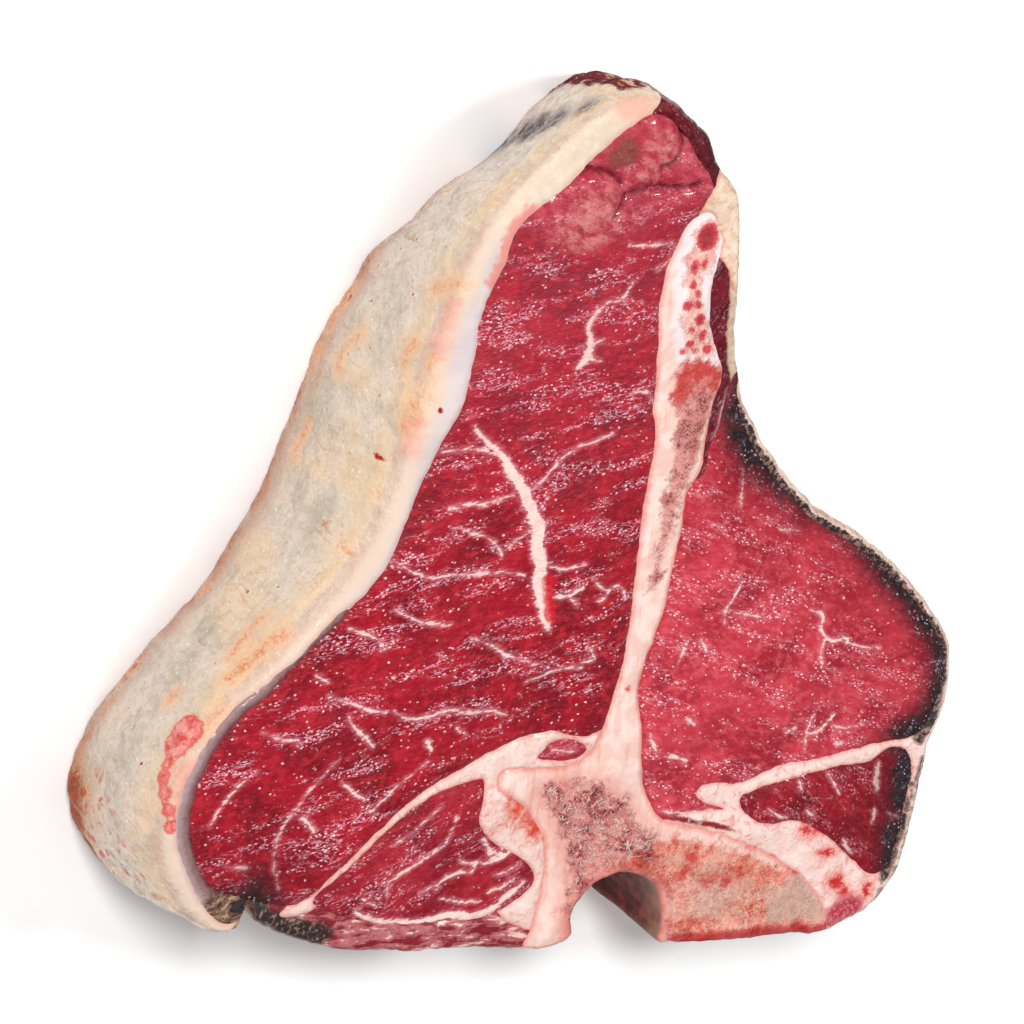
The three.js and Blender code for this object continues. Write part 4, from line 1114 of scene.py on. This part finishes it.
scrape = fat.plain("#C8504A").over(lump.ramp(0.34, 0.6) * raw.ramp(-0.2, 1.6), "#DE9086")
colour = colour.over(raw.ramp(-0.4, 0.4), scrape.over(crumb.ramp(0.58, 0.7) * 0.5, "#EAB4A4"))
colour = colour.over((fat.field("blood") + (crumb - 0.5) * 1.2).ramp(-0.1, 0.4), "#A01E1A")
height = (lump * 0.8 + cloud * 2 + crumb * 0.3) * (outside * 0.7 + 0.3)
dull = (fat.field("flank") + 1).ramp(0, 2)
wet = lump.ramp(0.42, 0.56) * (1 - dull) * (1 - stain.ramp(-3, 1)) * (outside * 0.85 + 0.06)
fat.wear(fat_cap, "fat_cap", "cap_fat", Base_Color=colour, Coat_Weight=wet,
         Roughness=0.52 + lump * 0.2 + dull * 0.3 - outside * 0.2, Normal=fat.bumps(height, 1.2, 0.6))

# ----------------------------------------------------------------------------------------------------------
# The silverskin: the sheet of tough, glossy tissue that holds the strip loin to the fat cap. It is cut across
# into a grey-mauve band, dark along the muscle, and ends in tatters at the cleft in the lower left.

torn_end = [(-55, -95), (-50, -93.5), (-46.5, -90), (-42, -92), (-41, -103), (-52, -106)]
silverskin = slab("silverskin", 0.8, crown=0.1,
                  zones={"torn": [torn_end], "muscle": [outlines["strip_loin"]]})
sheath = Finish("silverskin_sheath", Coat_Roughness=0.12, IOR=1.42)
lines = sheath.grain(sheath.spot(0.6, (1, 1, 0.2)), 1.2, 4, 0.65)
away = lines * 1.6 - sheath.field("muscle")
colour = sheath.plain("#5A3638").over(away.ramp(0.6, 2.0), "#82605F")
colour = colour.over(away.ramp(2.0, 3.4), "#9A7E7E").over(away.ramp(3.4, 5.0), "#C4B0AE")
torn = (sheath.field("torn") + (lines - 0.5) * 5).ramp(-1, 1.5)
tatter = sheath.grain(sheath.spot(0.5, (0.7, 1, 1)), 3.0, 5, 0.75, 0.8)
scrap = sheath.plain("#B0926C").over(tatter.ramp(0.38, 0.5), "#6A4236").over(tatter.ramp(0.5, 0.6), "#160C0C")
colour = colour.over(torn, scrap)
sheath.wear(silverskin, "silverskin", "silverskin", Base_Color=colour, Roughness=0.3 + lines * 0.2,
            Coat_Weight=lines.ramp(0.4, 0.6) * 0.6, Normal=sheath.bumps(lines + torn * tatter * 3, 0.5, 0.8))

# ----------------------------------------------------------------------------------------------------------
# The inner fat: the seam between strip loin and backbone muscle, the fat corner and the thin skin round the
# fillet, the fat at the bone's tip, and the sawn strip of trimmings along the backbone.


def soft_fat(name, pale, warm, pink, stain=0.5):
    """Soft fat at a cut, with pink and orange stains: its finish, colour, broad noise and fine noise."""
    fat = Finish(name, Coat_Roughness=0.12, Specular_IOR_Level=0.4)
    at = fat.spot(0, (1, 1, 0.25))
    cloud = fat.grain(at, 4.0, 4, 0.6, 0.5)
    fine = fat.grain(at, 1.1, 4, 0.65)
    colour = fat.plain(pale).over(cloud.ramp(0.42, 0.66), warm)
    colour = colour.soaked(fat.grain(at, 2.8, 4, 0.65, 1.2).ramp(0.5, 0.7) * stain, pink)
    colour = colour.soaked((fat.field("edge") + fine).ramp(1.5, 0.4) * 0.7, "#EE9C96")
    return fat, colour, cloud, fine


def with_skin(fat, colour, fine, reach=0.0):
    """The colour, with a dry cream skin over the outside, browned and reddened in soft patches."""
    hide = fat.grain(fat.spot(), 14.0, 4, 0.55, 0.4)
    grain = fat.grain(fat.spot(), 1.8, 4, 0.66)
    skin = fat.plain("#D8C6B2").over(grain.ramp(0.36, 0.66), "#C4A88C")
    skin = skin.over((hide + grain * 0.3).ramp(0.58, 0.86) * 0.7, "#A06A58")
    skin = skin.over((hide + grain * 0.3).ramp(0.56, 0.36) * 0.5, "#B09470")
    skin = skin.over(grain.ramp(0.6, 0.68) * 0.7, "#6E4436")
    return colour.over((fat.field("fall") + fine + reach).ramp(-1.0, 0.1), skin)


def dressed_fat(piece, node, fat, colour, cloud, fine):
    """Finishes a piece of soft fat, damp in patches."""
    fat.wear(piece, node, "inner_fat", Base_Color=colour, Roughness=0.32 + fine * 0.2,
             Coat_Weight=cloud.ramp(0.4, 0.6) * 0.25, Normal=fat.bumps(cloud * 0.9 + fine * 0.5, 0.7, 0.75))


knuckle = [
    (13, -66), (20, -66.8), (26, -71), (31, -77), (33.5, -84), (31, -85), (25, -80.5), (18, -80.5),
    (13.5, -77),
]
sore = [(18, -71.5), (20.7, -70), (26.7, -73), (30.8, -77), (30.4, -79.4), (25.6, -77)]
seam_fat = slab("seam_fat", 0.8, zones={"knuckle": [knuckle], "sore": [sore]}, roughness=0.25)
fat, colour, cloud, fine = soft_fat("seam_fat_cut", "#DDBBB1", "#E4CCC3", "#F0A8A0", 0.6)
warm = fat.grain(fat.spot(-0.9, (1, 0.7, 0.2)), 2.6, 4, 0.65, 0.5)
stain = (fat.field("knuckle") + (cloud - 0.5) * 4).ramp(-1, 1.5)
colour = colour.soaked(stain * warm.ramp(0.44, 0.66), "#F4AEA2")
colour = colour.soaked((fat.field("sore") + (warm - 0.5) * 10).ramp(-3, 3), "#EC7C68")
dressed_fat(seam_fat, "seam_fat", fat, colour, cloud, fine)

sliver = [
    (62, -71.2), (70.4, -73), (78, -74.2), (85, -74.9), (89.4, -76.6), (84, -76.3), (76, -75.1),
    (68, -73.9),
]
corner_blood = [
    oval(x, y, a, b) for x, y, a, b in (
        (120, -82, 2.4, 1), (125.5, -90, 2.6, 1.8), (129, -92.4, 1.8, 1.2), (132.6, -96, 2.6, 2.4),
        (136, -91.5, 1.4, 2), (128.8, -98.5, 2.2, 1.6), (113, -76, 4, 0.8),
    )
]
raw_corner = [(126.5, -97), (128.5, -94), (134, -93.6), (136, -97), (132, -103), (127.5, -104)]
dried_skin = [
    (53.5, 24), (57, 38), (62, 28), (70, 19), (84, 9.6), (105, 1.5), (124, -9.6), (139, -22.5),
    (144.2, -37), (143, -46), (140, -52), (136, -50), (136, -35), (128, -24), (100, -6), (70, 8), (56, 18),
]
side_dried = [
    (141, -54), (144, -57), (143, -64), (144.6, -70), (144.9, -80), (143.4, -88), (140.5, -91), (139, -88),
    (141.5, -80), (141, -66),
]
rind = [
    (142.5, -54), (150, -54), (152, -100), (134, -106), (136, -99.5), (140.4, -93), (143, -84),
    (143.2, -68),
]
outer_fat = slab(
    "outer_fat", 0.8, crown=0.2, roughness=0.15,
    zones={"sliver": [sliver], "blood": corner_blood, "corner": [raw_corner],
           "dried": [dried_skin, side_dried], "rind": [rind]},
)
fat, colour, cloud, fine = soft_fat("outer_fat_cut", "#E2C2BA", "#E8D0C8", "#EE9C98", 0.8)
colour = colour.over((fat.field("sliver") + (fine - 0.5)).ramp(-0.4, 0.3), "#86101E")
colour = colour.soaked((fat.field("blood") + (fine - 0.5) * 6).ramp(-3, 1.0), "#F4A09C")
colour = colour.soaked((fat.field("blood") + (fine - 0.5) * 6).ramp(-0.6, 1.0), "#DA5058")
corner = (fat.field("corner") + (cloud - 0.5) * 6).ramp(-1.5, 1)
colour = colour.over(corner * 0.9, fat.plain("#9A2438").over(fine.ramp(0.46, 0.62), "#C86A74"))
dark = (fat.field("dried") + (fine - 0.5) * 2.4 + (cloud - 0.5) * 4).ramp(-0.2, 1.2)
dark = dark * (fat.field("fall") + (fine - 0.5) * 2 + (cloud - 0.5) * 2).ramp(-0.9, -1.6)
colour = colour.over(dark, fat.plain("#241819").over(fine.ramp(0.46, 0.62), "#8A6A5C"))
colour = with_skin(fat, colour, fine, fat.field("rind").ramp(0, 3) * 2.4)
soil = fat.grain(fat.spot(), 3.0, 4, 0.66)
soiled = (fat.field("rind") + (soil - 0.5) * 6).ramp(-0.6, 1.0) * soil.ramp(0.42, 0.6)
colour = colour.over(soiled * fat.field("fall").ramp(12, 0, 0.25, 0.75), "#7E5A4A")
dressed_fat(outer_fat, "outer_fat", fat, colour, cloud, fine)

tip_fat = slab("tip_fat", 0.8, crown=0.3, roughness=0.35)
fat, colour, cloud, fine = soft_fat("tip_fat_cut", "#DCC4AE", "#D0AE92", "#C98470", 0.4)
colour = with_skin(fat, colour.over(fine.ramp(0.56, 0.7) * 0.5, "#F2E2CE"), fine)
dressed_fat(tip_fat, "tip_fat", fat, colour, cloud, fine)

trim_dark = [
    (-44, -93), (-38, -97), (-30, -100.5), (-24, -101.5), (-19, -104), (-22, -108), (-34, -108), (-46, -104),
]
chine_trim = slab("chine_trim", 0.8, zones={"crust": [trim_dark]}, roughness=0.3)
fat, colour, cloud, fine = soft_fat("chine_trim_cut", "#A4565C", "#B06466", "#B84858", 0.9)
strands = fat.grain(fat.spot(0.05, (0.35, 1.2, 0.4)), 2.6, 5, 0.62, 0.3)
colour = colour.over(strands.ramp(0.5, 0.58), "#780E1E")
colour = colour.over(strands.ramp(0.45, 0.37) * fat.field("fall").ramp(2, 0, 0.15, 0.9), "#E2BEB0")
film = fat.grain(fat.spot(), 7.0, 5, 0.62)
patchy = (film - 0.5) * fat.field("fall").ramp(-1, 3) * 40
soiled = (fat.field("crust") + (cloud - 0.5) * 6 + patchy).ramp(-1.4, 1)
colour = colour.over(soiled, fat.plain("#241716").over(fine.ramp(0.5, 0.66), "#8A6A5C"))
dry = fat.plain("#7A3E34").over(film.ramp(0.42, 0.6), "#96584A").over(film.ramp(0.6, 0.7) * 0.7, "#B88C74")
colour = colour.over((fat.field("fall") + fine).ramp(-0.3, 1.2) * 0.8, dry)
dressed_fat(chine_trim, "chine_trim", fat, colour, cloud, fine)

# ----------------------------------------------------------------------------------------------------------
# The studio: a plain pale floor, soft white light from all round and from above, and a long lens that looks
# down past the fat cap.

floor_reach = 4.0  # m each way
sky_strength = 0.3
key_power, wet_power, front_power = 20.5, 7, 6  # W
lens, sensor_width = 119.53, 36  # mm

floor_corners = [(x * floor_reach, y * floor_reach, 0) for x, y in ((-1, -1), (1, -1), (1, 1), (-1, 1))]
floor_mesh = bpy.data.meshes.new("floor")
floor_mesh.from_pydata(floor_corners, [], [(0, 1, 2, 3)])
floor = bpy.data.objects.new("floor", floor_mesh)
bpy.context.scene.collection.objects.link(floor)
floor_paint = Finish("pale_floor", Roughness=0.9, Base_Color=(0.9, 0.9, 0.9, 1), Specular_IOR_Level=0.1)
floor_mesh.materials.append(floor_paint.material)

world = bpy.data.worlds.new("studio")
world.use_nodes = True
sky = world.node_tree.nodes["Background"]
sky.inputs["Color"].default_value = (1, 1, 1, 1)
sky.inputs["Strength"].default_value = sky_strength
bpy.context.scene.world = world
bpy.context.scene.view_settings.view_transform = "Standard"


def softbox(name, place, size, power):
    """A round, soft lamp that faces the steak."""
    light = bpy.data.lights.new(name, "AREA")
    light.shape = "DISK"
    light.size, light.energy = size, power
    lamp = bpy.data.objects.new(name, light)
    lamp.location = place
    lamp.rotation_euler = Vector(place).to_track_quat("Z", "Y").to_euler()
    bpy.context.scene.collection.objects.link(lamp)


softbox("key_light", (-0.75, 0.65, 1.3), 0.4, key_power)
softbox("wet_light", (0.5, 0.6, 1.2), 0.3, wet_power)
softbox("front_light", (-0.6, -1.0, 1.2), 0.6, front_power)

view_tilt, view_azimuth, view_roll = math.radians(38), math.radians(157), math.radians(147)
view_reach = 0.7636  # m from the steak's middle
back = Vector((math.sin(view_tilt) * math.cos(view_azimuth), math.sin(view_tilt) * math.sin(view_azimuth),
               math.cos(view_tilt)))
level = Vector((-math.sin(view_azimuth), math.cos(view_azimuth), 0))
slope = level.cross(back)
right = slope * math.cos(view_roll) - level * math.sin(view_roll)
up = slope * math.sin(view_roll) + level * math.cos(view_roll)
aim = Vector((-plan_centre[0] / 1000, -plan_centre[1] / 1000, thickness / 1000))
camera = bpy.data.objects.new("camera", bpy.data.cameras.new("camera"))
camera.data.sensor_width, camera.data.lens = sensor_width, lens
facing = Matrix((right, up, back)).transposed().to_4x4()
camera.matrix_world = Matrix.Translation(aim + back * view_reach) @ facing
bpy.context.scene.collection.objects.link(camera)
bpy.context.scene.camera = camera
